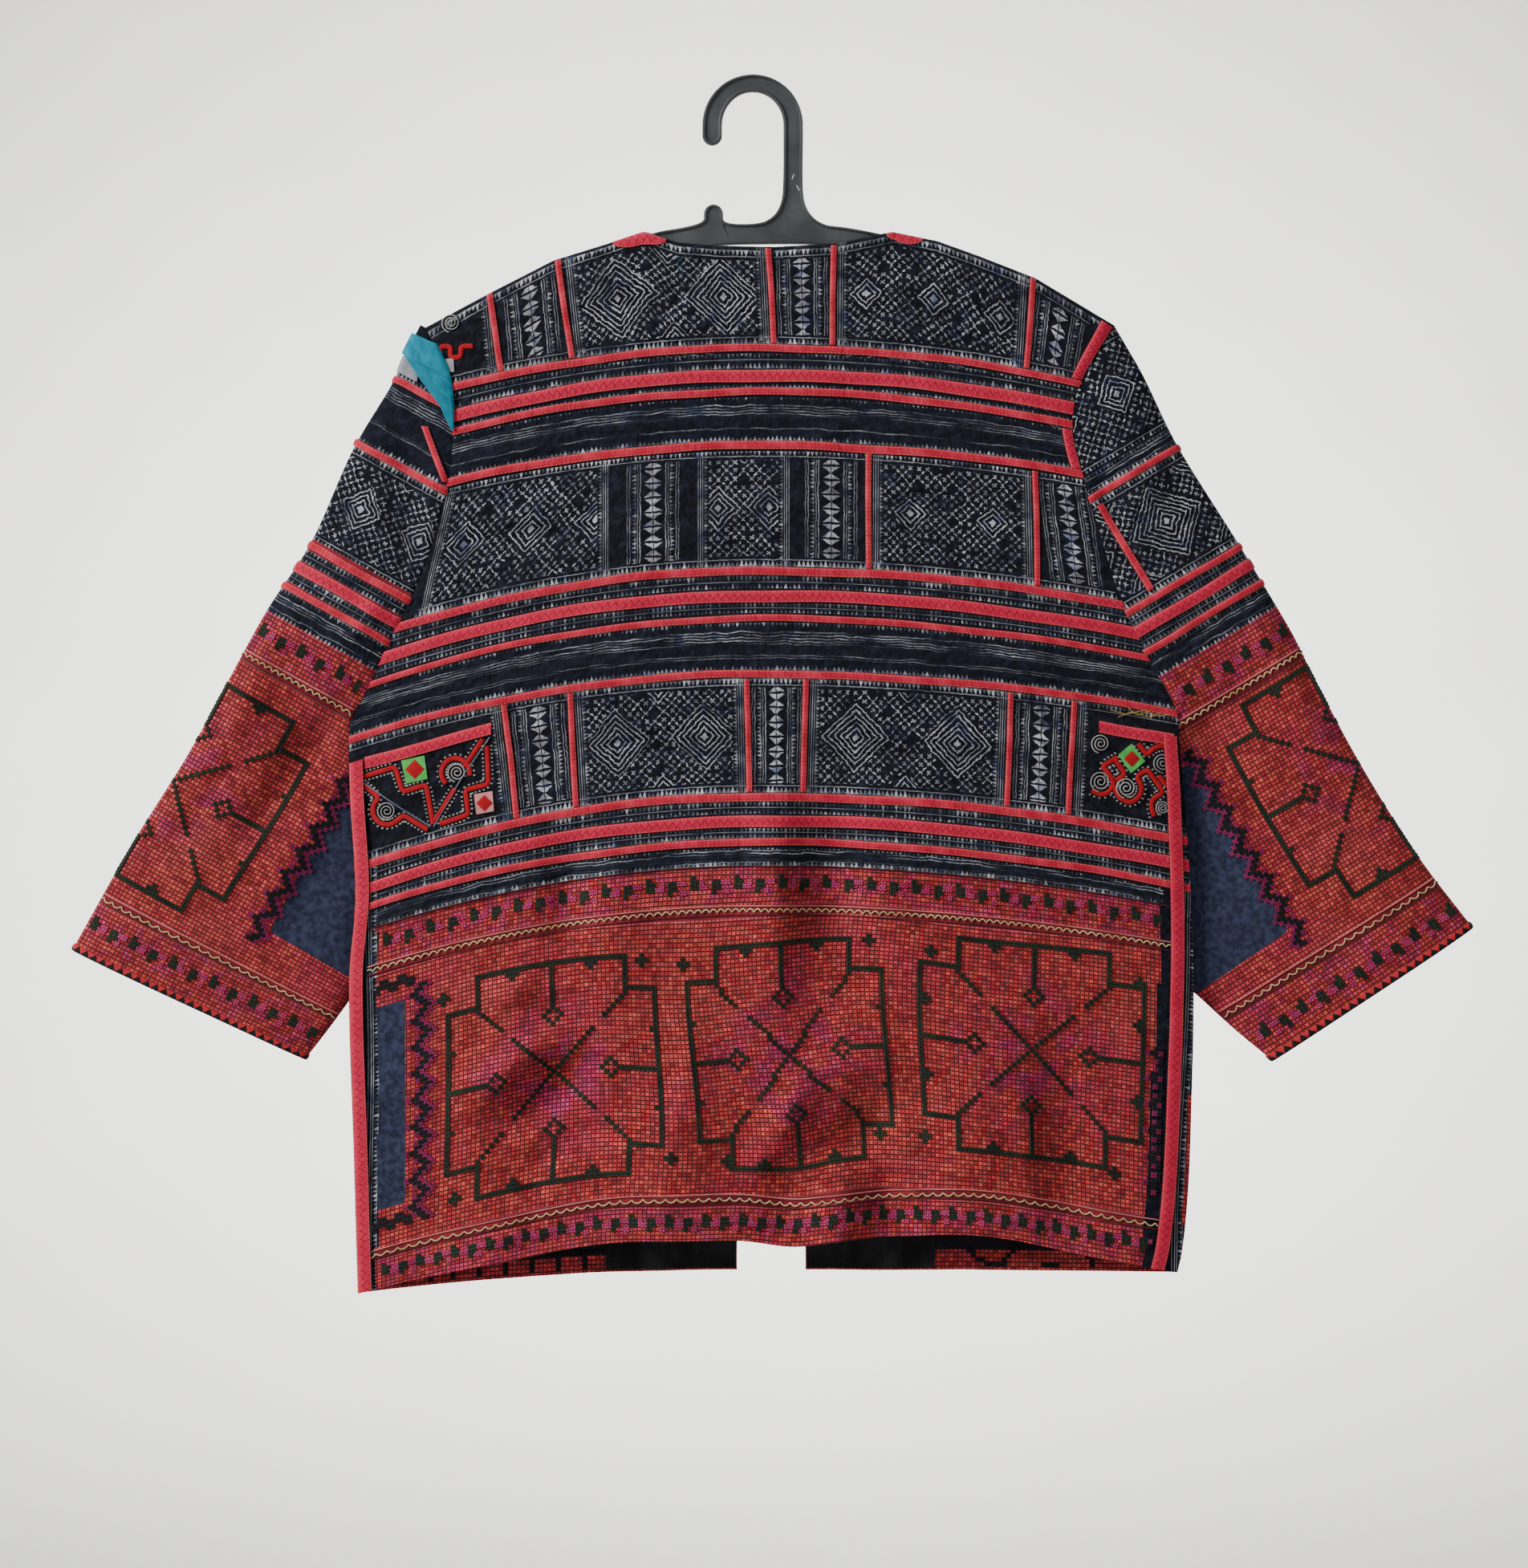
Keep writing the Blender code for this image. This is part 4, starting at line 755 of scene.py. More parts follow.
def cloth_wall(name, outer, inner, cloth, blocks, motifs, under_edge=None, open_rows=None, lined_to=-900.0):
    """A closed thin wall between two grids. cloth gives each point's (across, level, bare ground) for its pattern.

    The inner face is plain lining down to the level lined_to. under_edge is each point's distance below the
    cloth's own top edge, which the top blocks measure from.
    """
    rows, columns = outer.shape[:2]
    faces = closed_faces(rows, columns, open_rows)
    mesh = wall_mesh(name, outer, inner, faces)
    corners = faces.ravel()
    values = np.vstack([cloth.reshape(-1, 3)] * 2)
    middle = values[faces].mean(1)
    held = block_of(blocks, middle[:, 0], middle[:, 1])
    each = np.repeat(np.array([block[1:] for block in blocks], float)[held], 4, axis=0)
    left_top, left_foot, right_top, right_foot, head, foot, pitch, reach = each.T
    x, level = values[corners, 0], values[corners, 1]
    t = np.clip((head - level) / (head - foot), 0, 1)
    left = x - (left_top + (left_foot - left_top) * t)
    right = right_top + (right_foot - right_top) * t - x
    upper, lower = head - level, level - foot
    if under_edge is not None:
        below = np.concatenate([under_edge.ravel()] * 2)[corners]
        upper = np.where(head > YOKE_TOP - 1, below - 3.0, upper)
    # Stitched blocks measure from the nearest motif, and all others from their own sides
    motif = np.array(motifs, float)
    nearest = np.repeat(np.abs(middle[:, None, 0] - motif[None, :, 0]).argmin(1), 4)
    stitched = np.repeat(np.array([block.finish == "stitched" for block in blocks])[held], 4)
    left = np.where(stitched, x - motif[nearest, 0], left)
    right = np.where(stitched, level - motif[nearest, 1], right)
    add_pattern(mesh, "cloth", "CORNER", values[corners])
    add_pattern(mesh, "panel", "CORNER", np.stack([left, right, pitch], 1))
    add_pattern(mesh, "band", "CORNER", np.stack([upper, lower, reach], 1))
    slots = np.array([CLOTH_ORDER.index(block.finish) for block in blocks])[held]
    shell = (rows - 1) * (columns - 1)
    lined = np.arange(shell, 2 * shell)
    slots[lined[middle[lined, 1] > lined_to]] = CLOTH_ORDER.index("lining")
    mesh.polygons.foreach_set("material_index", slots.astype(np.int32))
    for finish in CLOTHS.values():
        mesh.materials.append(finish)
    closed_up(mesh, RIM_ANGLE, WELD)
    return placed(name, mesh)


# Back: one pieced cloth from the shoulders to the hem. Batik blocks and stripes fill its upper part between
# the tapes, and one cross-stitched panel its lower part. It hangs over the hanger and is open at neck and hem.
def band(finish, upper, lower, pitch=40, reach=10):
    """A block over the whole width."""
    return Block(finish, -FAR, -FAR, FAR, FAR, upper, lower, pitch, reach)


def row_of(upper, lower, edges, *blocks):
    """Blocks side by side. edges says where each one starts and ends across, at its head and at its foot."""
    pairs = zip(blocks, edges, edges[1:])
    return [Block(finish, *start, *end, upper, lower, *sizes) for (finish, *sizes), start, end in pairs]


BEYOND_LEFT, BEYOND_RIGHT = (-FAR, -FAR), (FAR, FAR)
TOP_ROW = [BEYOND_LEFT, (-173.3, -165.4), (-128.3, -119.3), (10.1, 13.8), (53.0, 52.5), (185.0, 180.2)]
TOP_ROW += [(233.0, 214.0)]
MIDDLE_ROW = [(-203.0, -222.0), (-92.0, -92.0), (-39.0, -39.0), (27.0, 27.0), (76.3, 75.8), (185.5, 187.1)]
MIDDLE_ROW += [(222.0, 241.0)]
LOW_ROW = [BEYOND_LEFT, (-163.8, -155.3), (-120.3, -116.1), (-3.7, -2.1), (35.0, 32.9), (169.6, 167.0)]
LOW_ROW += [(211.5, 207.8), BEYOND_RIGHT]
COLUMN, CORNER = ["column"], ["applique"]
BACK_BLOCKS = [
    Block("edging", -270.0, -266.0, -248.0, -246.5, -466.0, -757.0),
    Block("edging", 270.0, 257.5, 293.0, 284.0, -495.0, -757.0),
    *row_of(-84.0, -167.5, TOP_ROW, CORNER, COLUMN, ["lattice", 69, 27], COLUMN, ["lattice", 44, 13], COLUMN),
    band("teeth", -172.8, -183.9),
    band("teeth", -192.4, -196.2),
    band("stripes", -201.4, -231.4),
    *row_of(
        -237.2, -314.0, MIDDLE_ROW,
        ["lattice", 44, 16], COLUMN, ["lattice", 33, 15], COLUMN, ["lattice", 54.6, 13], COLUMN,
    ),
    band("teeth", -319.8, -329.4),
    band("teeth", -337.4, -345.8),
    band("stripes", -350.6, -382.2),
    *row_of(
        -387.5, -462.4, LOW_ROW,
        CORNER, COLUMN, ["lattice", 57.7, 22], COLUMN, ["lattice", 67.2, 25], COLUMN, CORNER,
    ),
    band("teeth", -468.2, -477.2),
    band("teeth", -485.2, -492.4),
    band("stripes", -497.7, -510.4),
    band("stitched", -510.4, -540.0, reach=1),
    band("stitched", -728.8, -757.0, reach=2),
    band("stripes", -84.0, -510.4),
    band("stitched", -540.0, -728.8, reach=0),
]
BACK_MOTIFS = [(-133.0, -635.8), (24.9, -634.7), (182.9, -626.4)]
BACK_ACROSS, BACK_STEP, CLOTH_THICK = 180, 3.2, 1.5
# Bare navy ground at the left edge of the stitched panel, beside a stepped dark line: left, right, upper, lower
BARE_LEFT = (-300.0, -229.0, -566.0, -700.0)
# The cloth is pulled into a slight whirl round the middle motif, and into slow waves everywhere
PULL_TURN, PULL_REACH, PULL_WAVE, PULL_FROM = 0.1, 98.0, 1.2, -514.0


def pulled(x, level):
    """How far the stitched panel is pulled out of square at a place, across and up."""
    x, level = np.broadcast_arrays(np.asarray(x, float), np.asarray(level, float))
    off_x, off_level = x - BACK_MOTIFS[1][0], level - BACK_MOTIFS[1][1]
    turn = PULL_TURN * np.exp(-(((off_x**2 + off_level**2) / PULL_REACH**2) ** 2))
    share = np.clip((PULL_FROM - level) / 25, 0, 1)
    across = PULL_WAVE * np.sin(level / 41.0 + x / 90.0) - turn * off_level
    return share * across, share * (np.sin(x / 33.0) + turn * off_x)


def bare_distance(x, level, box):
    """How far a place is inside a rectangle, under 0 outside it."""
    left, right, upper, lower = box
    return np.minimum(np.minimum(x - left, right - x), np.minimum(upper - level, level - lower))


yoke_rows = np.concatenate([np.linspace(0, SHOULDER_ROUND, 7), np.linspace(SHOULDER_ROUND, 1, 20)[1:]])
levels = list(YOKE_TOP + (FIRST.centre - YOKE_TOP) * yoke_rows)
levels += list(np.linspace(FIRST.centre, HEM.centre, int((FIRST.centre - HEM.centre) / BACK_STEP))[1:])
shares = np.linspace(0, 1, BACK_ACROSS + 1)
grid_level, grid_share = np.meshgrid(np.array(levels), shares, indexing="ij")
outer = back_at(grid_share, grid_level)
x, z = outer[..., 0], outer[..., 2]
above_first = z - back_at(shares, FIRST.centre)[:, 2]
pattern_level = np.where(grid_level > FIRST.centre, FIRST.centre + above_first, grid_level)
across, up = pulled(x, grid_level)
pattern = np.stack([x - across, pattern_level - up, bare_distance(x, grid_level, BARE_LEFT)], -1)
inner = outer + np.array([0.0, CLOTH_THICK, 0.0])
back = cloth_wall("back_cloth", outer, inner, pattern, BACK_BLOCKS, BACK_MOTIFS, under_edge=z[0] - z)
declared(back, "batik", "back")


# Fronts: two straight cloths that meet the back at the shoulders and side seams, and stay open down the
# middle. Their outer side has stripes and two rows of batik over cross-stitch, and their inner side is lined
# down to a strip at the hem, which shows the back of the stitches.
FRONT_EDGES = {
    "left": table(
        Edge,
        (-93.0, -74.0), (-120.0, -58.0), (-160.0, -34.0), (-205.0, -15.0), (-240.0, -10.6), (-790.0, -10.6),
    ),
    "right": table(
        Edge,
        (-93.0, 94.0), (-120.0, 80.0), (-160.0, 58.0), (-205.0, 40.0), (-240.0, 35.0), (-790.0, 35.0),
    ),
}
FRONT_FOLDS = table(
    Fold,
    (-196, -440, -70, -600, 18, -5.0), (-224, -480, -160, -730, 20, 5.5), (-120, -560, -108, -790, 18, 6.0),
    (-70, -420, -62, -790, 16, -5.0), (-36, -300, -30, -700, 12, 3.5), (-160, -190, -96, -340, 14, 4.0),
    (-120, -330, -60, -420, 12, -3.0), (230, -440, 104, -620, 18, -5.5), (250, -500, 196, -740, 20, 5.0),
    (128, -540, 142, -790, 18, 5.5), (80, -430, 84, -790, 15, -5.5), (56, -320, 60, -690, 12, 3.5),
    (176, -190, 112, -350, 14, 4.0), (150, -340, 84, -440, 12, -3.0),
)
FRONT_HEM = -779.6
YOKE_SHARE = 0.45


def front_at(side, v, fall, out=0.0):
    """A point of a front's outer face: share v from the side to its front edge, fall from shoulder to hem."""
    v, fall = np.broadcast_arrays(np.asarray(v, float), np.asarray(fall, float))
    left = side == "left"
    tip = TOP_EDGE[0 if left else -1]
    corner = NECK_LEFT if left else NECK_RIGHT
    low, end = (HEM.left, FIRST.left) if left else (HEM.right, FIRST.right)
    peak = float(top_z(corner))
    z_side = tip.z + (low - tip.z) * fall
    z_edge = peak + (FRONT_HEM - peak) * fall
    x_side = edge_x(side, z_side)
    x = x_side + (straight(FRONT_EDGES[side], z_edge) - x_side) * v
    z = z_side + (z_edge - z_side) * (1 - (1 - v) ** 2)
    yoke = np.clip((tip.z - z_side) / (tip.z - end), 0, YOKE_SHARE)
    z_top = top_z(tip.x + (corner - tip.x) * v) + z_side - tip.z
    z = np.where(yoke < YOKE_SHARE, z_top * (1 - yoke / YOKE_SHARE) + z * yoke / YOKE_SHARE, z)
    left_x, right_x = edge_x("left", z_side), edge_x("right", z_side)
    u = np.clip((x - left_x) / (right_x - left_x), 0, 1)
    folds = fold_rise(x, z, FRONT_FOLDS) + fold_rise(x, z, CREASES)
    depth = hollow_depth(u, z) + folds * np.minimum(1, 5 * v)
    edge = np.where(v < 1, SEAM_CLEAR, NECK_CLEAR)
    return np.stack([x, rounded_off(depth, edge, yoke) + WALL + out, z], -1)


FRONT_BLOCKS = [
    band("stripes", -60.0, -231.0),
    band("lattice", -237.0, -314.0, 55, 18),
    band("stripes", -314.0, -382.0),
    band("lattice", -387.0, -462.0, 60, 20),
    band("stripes", -462.0, -512.0),
    band("stitched", -512.0, -540.0, reach=1),
    band("stitched", -540.0, -900.0, reach=0),
]
FRONT_MOTIFS = {"left": (-135.0, -640.0), "right": (160.0, -640.0)}
LINED_TO = -742.5
falls = np.concatenate([np.linspace(0, 0.02, 6), np.linspace(0.02, 1, 150)[1:]])
grid_fall, grid_v = np.meshgrid(falls, np.linspace(0, 1, 61), indexing="ij")
level = YOKE_TOP + (HEM.centre - YOKE_TOP) * grid_fall
for side, area in (("left", 0.146), ("right", 0.144)):
    outer = front_at(side, grid_v, grid_fall)
    inner = outer - np.array([0.0, CLOTH_THICK, 0.0])
    pattern = np.stack([outer[..., 0], level, np.full(level.shape, -9.0)], -1)
    name, motifs = f"front_cloth_{side}", [FRONT_MOTIFS[side]]
    front = cloth_wall(name, outer, inner, pattern, FRONT_BLOCKS, motifs, lined_to=LINED_TO)
    declared(front, "batik", f"front_{side}")


# Sleeves: wide straight tubes of batik blocks and one cross-stitched panel, folded along their upper edge.
# Each hangs beside the deep open armhole and is closed under the arm, and its cuff stays open.
# Each point of a sleeve's under edge is placed from its head: by the row it ends, along, across and in depth
Under = namedtuple("Under", "along_top along across y")
SLEEVES = {
    "left": {
        "head": (-229.5, -172.8),
        "along": (-0.488, -0.873),
        "across": (0.873, -0.488),
        "fold": [(-22, -0.5), (0, 0), (20, 2), (66, 0.7), (142, 6.6), (196, 3), (295, 4), (370, 0.5), (451, 0)],
        "under": table(
            Under,
            (240, 242, 96, 7.5), (262, 262, 124, 10), (291, 291, 153, 11.5), (323, 323, 172, 12),
            (358, 358, 179, 11), (388, 387, 176, 9), (420, 413, 173, 8), (451, 440, 169, 7),
        ),
        "bare": [(265.5, 104), (377, 108), (379, 195), (330, 215), (252, 150)],
        "motif": (0.0, -319.5),
        "area": 0.104,
    },
    "right": {
        "head": (252.8, -178.1),
        "along": (0.512, -0.859),
        "across": (-0.859, -0.512),
        "fold": [(-30, 0), (0, 0), (65, 4.8), (140, 3.2), (202, 3), (243, 6), (310, 8.6), (379, 6.6), (435, 0)],
        "under": table(
            Under,
            (229, 230, 106.5, 6), (253, 253, 129, 10), (283, 283, 157, 11.5), (317, 317, 182, 12),
            (348, 348, 190, 11), (377, 380, 179, 9), (407, 413, 169, 8), (435, 444, 158, 7),
        ),
        "bare": [(248.4, 100), (373, 106), (378, 200), (330, 215), (236, 150)],
        "motif": (0.0, -302.7),
        "area": 0.107,
    },
}
# How far the cloth stands out of its middle, and where that middle lies, by the distance from the head
SLEEVE_PUFF = [(-30, 0.5), (60, 2.0), (225, 5.0), (262, 7.0), (450, 7.5)]
FOLD_Y = [(-30, 0), (60, -1), (225, -2), (262, -2), (450, 0)]
PINCHES = table(Fold, (-226, -190, -228, -330, 14, 3.5), (227, -236, 236, -310, 12, 3.0))
SLEEVE_CREASES = table(
    Fold,
    (-262, -392, -356, -520, 9, -3.6), (-272, -452, -334, -560, 8, 2.6), (-300, -330, -366, -470, 10, 2.2),
    (-246, -250, -300, -318, 8, -2.1), (-332, -420, -392, -520, 9, -2.1), (-238, -330, -276, -372, 8, 2.1),
    (284, -392, 366, -520, 9, -3.6), (296, -450, 352, -560, 8, 2.6), (318, -330, 392, -462, 10, 2.2),
    (262, -246, 318, -318, 8, -2.1), (356, -410, 420, -520, 9, -2.1), (250, -330, 292, -372, 8, 2.1),
)
RIM_GAP, RIM_ROWS, LAYER_COLUMNS, STATION_STEP = -0.2, 72, 40, 3.6
PUFF_POWER, FRONT_CREASES, EDGE_ROUND = 0.6, 0.6, 0.03
AROUND = np.concatenate([np.linspace(1, 0, LAYER_COLUMNS + 1), -np.linspace(0, 1, LAYER_COLUMNS + 1)[1:]])


class Sleeve:
    """A sleeve's outer and inner face on one grid: down from its head, and round from its seam over the fold."""

    def __init__(self, side):
        shape = SLEEVES[side]
        head, along, across = (np.array(shape[key]) for key in ("head", "along", "across"))
        out = -1 if side == "left" else 1
        # Each row runs from the fold to the armhole's rim, and below the underarm to the sleeve's under edge
        rim_z = np.linspace(SIDES[side][0].z, UNDERARM[side], RIM_ROWS)
        rim = np.stack([edge_x(side, rim_z), rim_z], 1)
        run = np.gradient(rim, axis=0)
        run /= np.linalg.norm(run, axis=1)[:, None]
        seam = rim + np.stack([-out * run[:, 1], out * run[:, 0]], 1) * RIM_GAP
        rim_along = (rim - head) @ along
        last_across = float((seam[-1] - head) @ across)
        under = [Under(rim_along[-1], rim_along[-1], last_across, 0.0)] + shape["under"]
        steps = int((under[-1].along_top - rim_along[-1]) / STATION_STEP)
        lower = np.linspace(rim_along[-1], under[-1].along_top, steps + 1)[1:]
        ends = [[(s.along_top, part) for s, part in zip(under, parts)] for parts in list(zip(*under))[1:]]
        lower_along, lower_across, lower_y = (smooth(rows, lower) for rows in ends)
        self.along = np.concatenate([rim_along, lower])
        reach = smooth(shape["fold"], self.along)
        fold = head + self.along[:, None] * along + reach[:, None] * across
        inner_end = head + lower_along[:, None] * along + lower_across[:, None] * across
        end = np.vstack([seam, inner_end])
        end_y = np.concatenate([np.zeros(len(rim)), lower_y])
        rim_depth = np.concatenate([armhole_depth(side, rim_z), np.zeros(len(lower))])
        self.open_rows = np.arange(len(self.along)) < len(rim) - 1
        # q is the share from the fold to the end, on the back layer and on the front layer
        q = (0.5 - 0.5 * np.cos(math.pi * np.abs(AROUND)))[None, :]
        layer = np.where(AROUND > 0, -1.0, 1.0)[None, :]
        way = end - fold
        self.width = np.linalg.norm(way, axis=1)
        x = fold[:, :1] + way[:, :1] * q
        z = fold[:, 1:] + way[:, 1:] * q
        thin = np.minimum(WALL / self.width, 0.4)[:, None]
        last = np.where(self.open_rows[:, None], 0.0, thin)
        inner_q = thin + (1 - thin - last) * q
        t = np.clip(q / 0.75, 0, 1)
        fold_y = straight(FOLD_Y, self.along)[:, None]
        middle = fold_y + (end_y[:, None] - fold_y) * t * t * (3 - 2 * t)
        side_fade = np.clip((q - 0.8) / 0.2, 0, 1)
        side_fade = 1 - side_fade * side_fade * (3 - 2 * side_fade)
        # The layers stand apart by their puff, and most at the open armhole
        pinch = fold_rise(x, z, PINCHES) * side_fade
        puff = straight(SLEEVE_PUFF, self.along)[:, None]
        depth = puff * np.maximum(4 * q * (1 - q), 0) ** PUFF_POWER + rim_depth[:, None] * (q * (2 - q)) ** PUFF_POWER
        crease = fold_rise(x, z, SLEEVE_CREASES) * np.clip(8 * q * (1 - q), 0, 1)
        depth = depth + np.where(layer < 0, crease, -crease * FRONT_CREASES)
        closed = ~self.open_rows[:, None]
        rounding = np.clip(q / EDGE_ROUND, 0, 1) * np.where(closed, np.clip((1 - q) / EDGE_ROUND, 0, 1), 1)
        wall = WALL * np.sqrt(1 - (1 - rounding) ** 2)
        flat = (q == 0) | ((q > 0.999999) & closed)
        depth = np.where(flat, 0, np.maximum(depth, 0.0))
        wall = np.where(flat, 0, wall)
        self.outer = np.stack([x, middle + pinch + layer * (depth + wall), z], -1)
        xi = fold[:, :1] + way[:, :1] * inner_q
        zi = fold[:, 1:] + way[:, 1:] * inner_q
        inner_y = middle + pinch + layer * np.maximum(depth - (CLOTH_THICK - WALL), 0) * (~flat)
        self.inner = np.stack([xi, inner_y, zi], -1)
        normal = np.cross(np.gradient(self.outer, axis=0), np.gradient(self.outer, axis=1)) * out
        self.normal = normal / np.maximum(np.linalg.norm(normal, axis=2), 1e-9)[..., None]
        # The pattern is measured from the fold and from the head; the bare ground fills a five-sided field
        over = -layer * q * self.width[:, None]
        level = np.broadcast_to(-self.along[:, None], over.shape)
        corners = np.array(shape["bare"], float)
        distances = []
        for k, corner in enumerate(corners):
            edge = corners[(k + 1) % len(corners)] - corner
            edge /= np.linalg.norm(edge)
            distances.append(edge[0] * (over + reach[:, None] - corner[1]) - edge[1] * (-level - corner[0]))
        bare = np.min(distances, 0)
        self.cloth = np.stack([over, level, bare], -1)

    def station(self, along):
        return np.interp(along, self.along, np.arange(len(self.along)))

    def column(self, station, over):
        """The column at a distance from the fold: over 0 on the back, under 0 on the front."""
        width = np.interp(station, np.arange(len(self.along)), self.width)
        t = np.arccos(1 - 2 * np.clip(np.abs(over) / width, 0, 1)) / math.pi
        return np.where(np.asarray(over) > 0, 1 - t, 1 + t) * LAYER_COLUMNS

    def at(self, station, column, out=0.0):
        """A point of the outer face at fractional places on the grid, moved out of it."""
        station, column = np.broadcast_arrays(np.asarray(station, float), np.asarray(column, float))
        i = np.clip(station.astype(int), 0, self.outer.shape[0] - 2)
        j = np.clip(column.astype(int), 0, self.outer.shape[1] - 2)
        s, t = (station - i)[..., None], (column - j)[..., None]
        found = []
        for grid in (self.outer, self.normal):
            high = grid[i, j] * (1 - t) + grid[i, j + 1] * t
            low = grid[i + 1, j] * (1 - t) + grid[i + 1, j + 1] * t
            found.append(high * (1 - s) + low * s)
        way = found[1] / np.maximum(np.linalg.norm(found[1], axis=-1), 1e-9)[..., None]
        return found[0] + way * np.asarray(out, float)[..., None]

    def spot(self, along, over, out=0.0):
        """A place at a distance from the head and from the fold."""
        station = self.station(along)
        return self.at(station, self.column(station, over), out)

    def pattern_spot(self, x, level, out=0.0):
        """A place by the numbers of its pattern."""
        return self.spot(-np.asarray(level), x, out)


SLEEVE_BLOCKS = {
    "left": [
        band("stripes", 40.0, -15.5),
        band("stripes", -15.5, -64.5),
        band("lattice", -69.5, -138.4, 44.44, 16),
        band("teeth", -143.7, -153.5),
        band("teeth", -161.5, -169.5),
        band("stripes", -174.5, -193.0),
        band("stitched", -193.0, -225.0, reach=1),
        band("stitched", -411.0, -460.0, reach=2),
        band("stitched", -225.0, -411.0, reach=0),
    ],
    "right": [
        band("lattice", 25.0, -49.0, 44.44, 17),
        band("stripes", -49.0, -60.5),
        band("lattice", -65.5, -137.4, 66.67, 29),
        band("teeth", -142.5, -149.7),
        band("teeth", -157.7, -165.5),
        band("stripes", -170.5, -187.0),
        band("stitched", -187.0, -221.0, reach=1),
        band("stitched", -396.5, -450.0, reach=2),
        band("stitched", -221.0, -396.5, reach=0),
    ],
}
sleeves = {}
for side, shape in SLEEVES.items():
    sleeve = sleeves[side] = Sleeve(side)
    grids, name = (sleeve.outer, sleeve.inner, sleeve.cloth), f"sleeve_cloth_{side}"
    piece = cloth_wall(name, *grids, SLEEVE_BLOCKS[side], [shape["motif"]], open_rows=sleeve.open_rows)
    declared(piece, "stitched", f"sleeve_{side}_back", f"sleeve_{side}_front")


# Red tapes: narrow woven cotton laid over every join, three at a time across the back and round the sleeves,
# with a wide one in the middle of each three. Each is sewn down along both edges and puckers a little.
TAPE_LIFT, TAPE_BODY, TAPE_ANGLE = 0.25, 1.05, 55
ZIGZAG = 5.2


def red_tape():
    cloth = Finish("red_tape", dye(186, 14, 38), 0.8, Sheen_Weight=0.06, Specular_IOR_Level=0.18)
    along, across, wide = cloth.attribute("tape")
    flat = cloth.vector(along, across, 0.0)
    worn = cloth.noise(flat, 0.06, 3.0)
    colour = cloth.mix(dye(172, 14, 46), dye(204, 44, 72), worn.between(0.35, 0.7))
    # The wide tapes are pinker and carry a zigzag in their own colour
    broad = wide.between(6.4, 6.8)
    zig = abs((along / ZIGZAG).part() * 2 - 1) * 3.4 - 1.7
    zigzag = (across - zig).line(0.5) * broad
    colour = cloth.mix(colour, dye(196, 30, 68), broad * 0.6)
    colour = cloth.mix(colour, dye(138, 12, 28), zigzag * 0.75)
    edge = wide / 2 - abs(across)
    sewn = (edge - 0.7).line(0.26) * ((along / 2.6).part() < 0.66)
    colour = cloth.mix(colour, dye(226, 150, 112), sewn * (0.3 + 0.4 * worn))
    # The outermost 0.4 mm of each edge is darkened: painted shade where the tape's edge meets the cloth
    colour = cloth.mix(colour, dye(70, 6, 14), (1 - edge.between(0.0, 0.4)) * 0.8)
    rib = (along / 0.7 * math.tau).sine()
    pucker = cloth.noise(cloth.vector(along * 0.35, across * 0.12, 0.0), 1.0, 2.0)
    return cloth.show(colour, 0.68 + 0.16 * worn, pucker + rib * 0.06 + zigzag * 0.25 - sewn * 0.4, 0.0008)


TAPE = red_tape()


def strip(surface, first, second, finish, lift=TAPE_LIFT, body=TAPE_BODY, flat=False):
    """A crowned strip on a surface. first and second are its places there: rows along it, columns across it.

    lift is how far the strip lies off the surface, and body how thick it is.
    """
    first, second = np.broadcast_arrays(np.asarray(first, float), np.asarray(second, float))
    rows, columns = first.shape
    across = np.abs(np.linspace(-1, 1, columns))
    crown = np.where(across > 0.99, 0.5, 1.0) if flat else 0.45 + 0.55 * (1 - across**3)
    upper = surface(first, second, np.broadcast_to(lift + body * crown, first.shape))
    under = surface(first, second, np.full(first.shape, float(lift)))
    run = np.concatenate([[0], np.cumsum(np.linalg.norm(np.diff(upper[:, columns // 2], axis=0), axis=1))])
    steps = np.linalg.norm(np.diff(under, axis=1), axis=2)
    over = np.concatenate([np.zeros((rows, 1)), np.cumsum(steps, axis=1)], axis=1)
    wide = over[:, -1:]
    mesh = wall_mesh("strip", upper, under, closed_faces(rows, columns))
    place = np.stack(np.broadcast_arrays(run[:, None], over - wide / 2, wide), -1)
    add_pattern(mesh, "tape", "POINT", np.vstack([place.reshape(-1, 3)] * 2))
    mesh.materials.append(finish)
    closed_up(mesh, TAPE_ANGLE)
    return mesh


def sewn_on(name, slot, strips, *nodes):
    """One piece of one or several strips in the same finish."""
    whole = bmesh.new()
    for one in strips:
        whole.from_mesh(one)
    mesh = bpy.data.meshes.new(name)
    whole.to_mesh(mesh)
    whole.free()
    mesh.materials.append(strips[0].materials[0])
    for one in strips:
        bpy.data.meshes.remove(one)
    return declared(placed(name, mesh), slot, *nodes)


def back_spot(x, level, out=0.0):
    """A place on the back by the numbers of its pattern."""
    return back_at(share_at(x, level), level, out)


def waver(length, seed, reach=0.35):
    """A slow drift of a few tenths of a millimetre, as hand sewing has."""
    return reach * (np.sin(length / 31.0 + seed * 1.7) + 0.6 * np.sin(length / 13.0 + seed * 2.9))


Tape = namedtuple("Tape", "middle width")
BACK_TAPES = table(
    Tape,
    (-170.1, 5.3), (-188.2, 8.5), (-198.8, 5.3), (-234.3, 5.8), (-316.9, 5.8), (-333.4, 8.0),
    (-348.2, 4.8), (-384.8, 5.3), (-465.3, 5.8), (-481.2, 8.0), (-495.1, 5.3),
)
# A sleeve's tapes are placed by their distance from its head
SLEEVE_TAPES = {
    "left": table(Tape, (18, 5), (67, 5), (141, 5.3), (157.5, 8), (172, 5)),
    "right": table(Tape, (63, 5), (140, 5), (153.7, 8), (168, 5)),
}
SPREAD = np.linspace(-0.5, 0.5, 7)
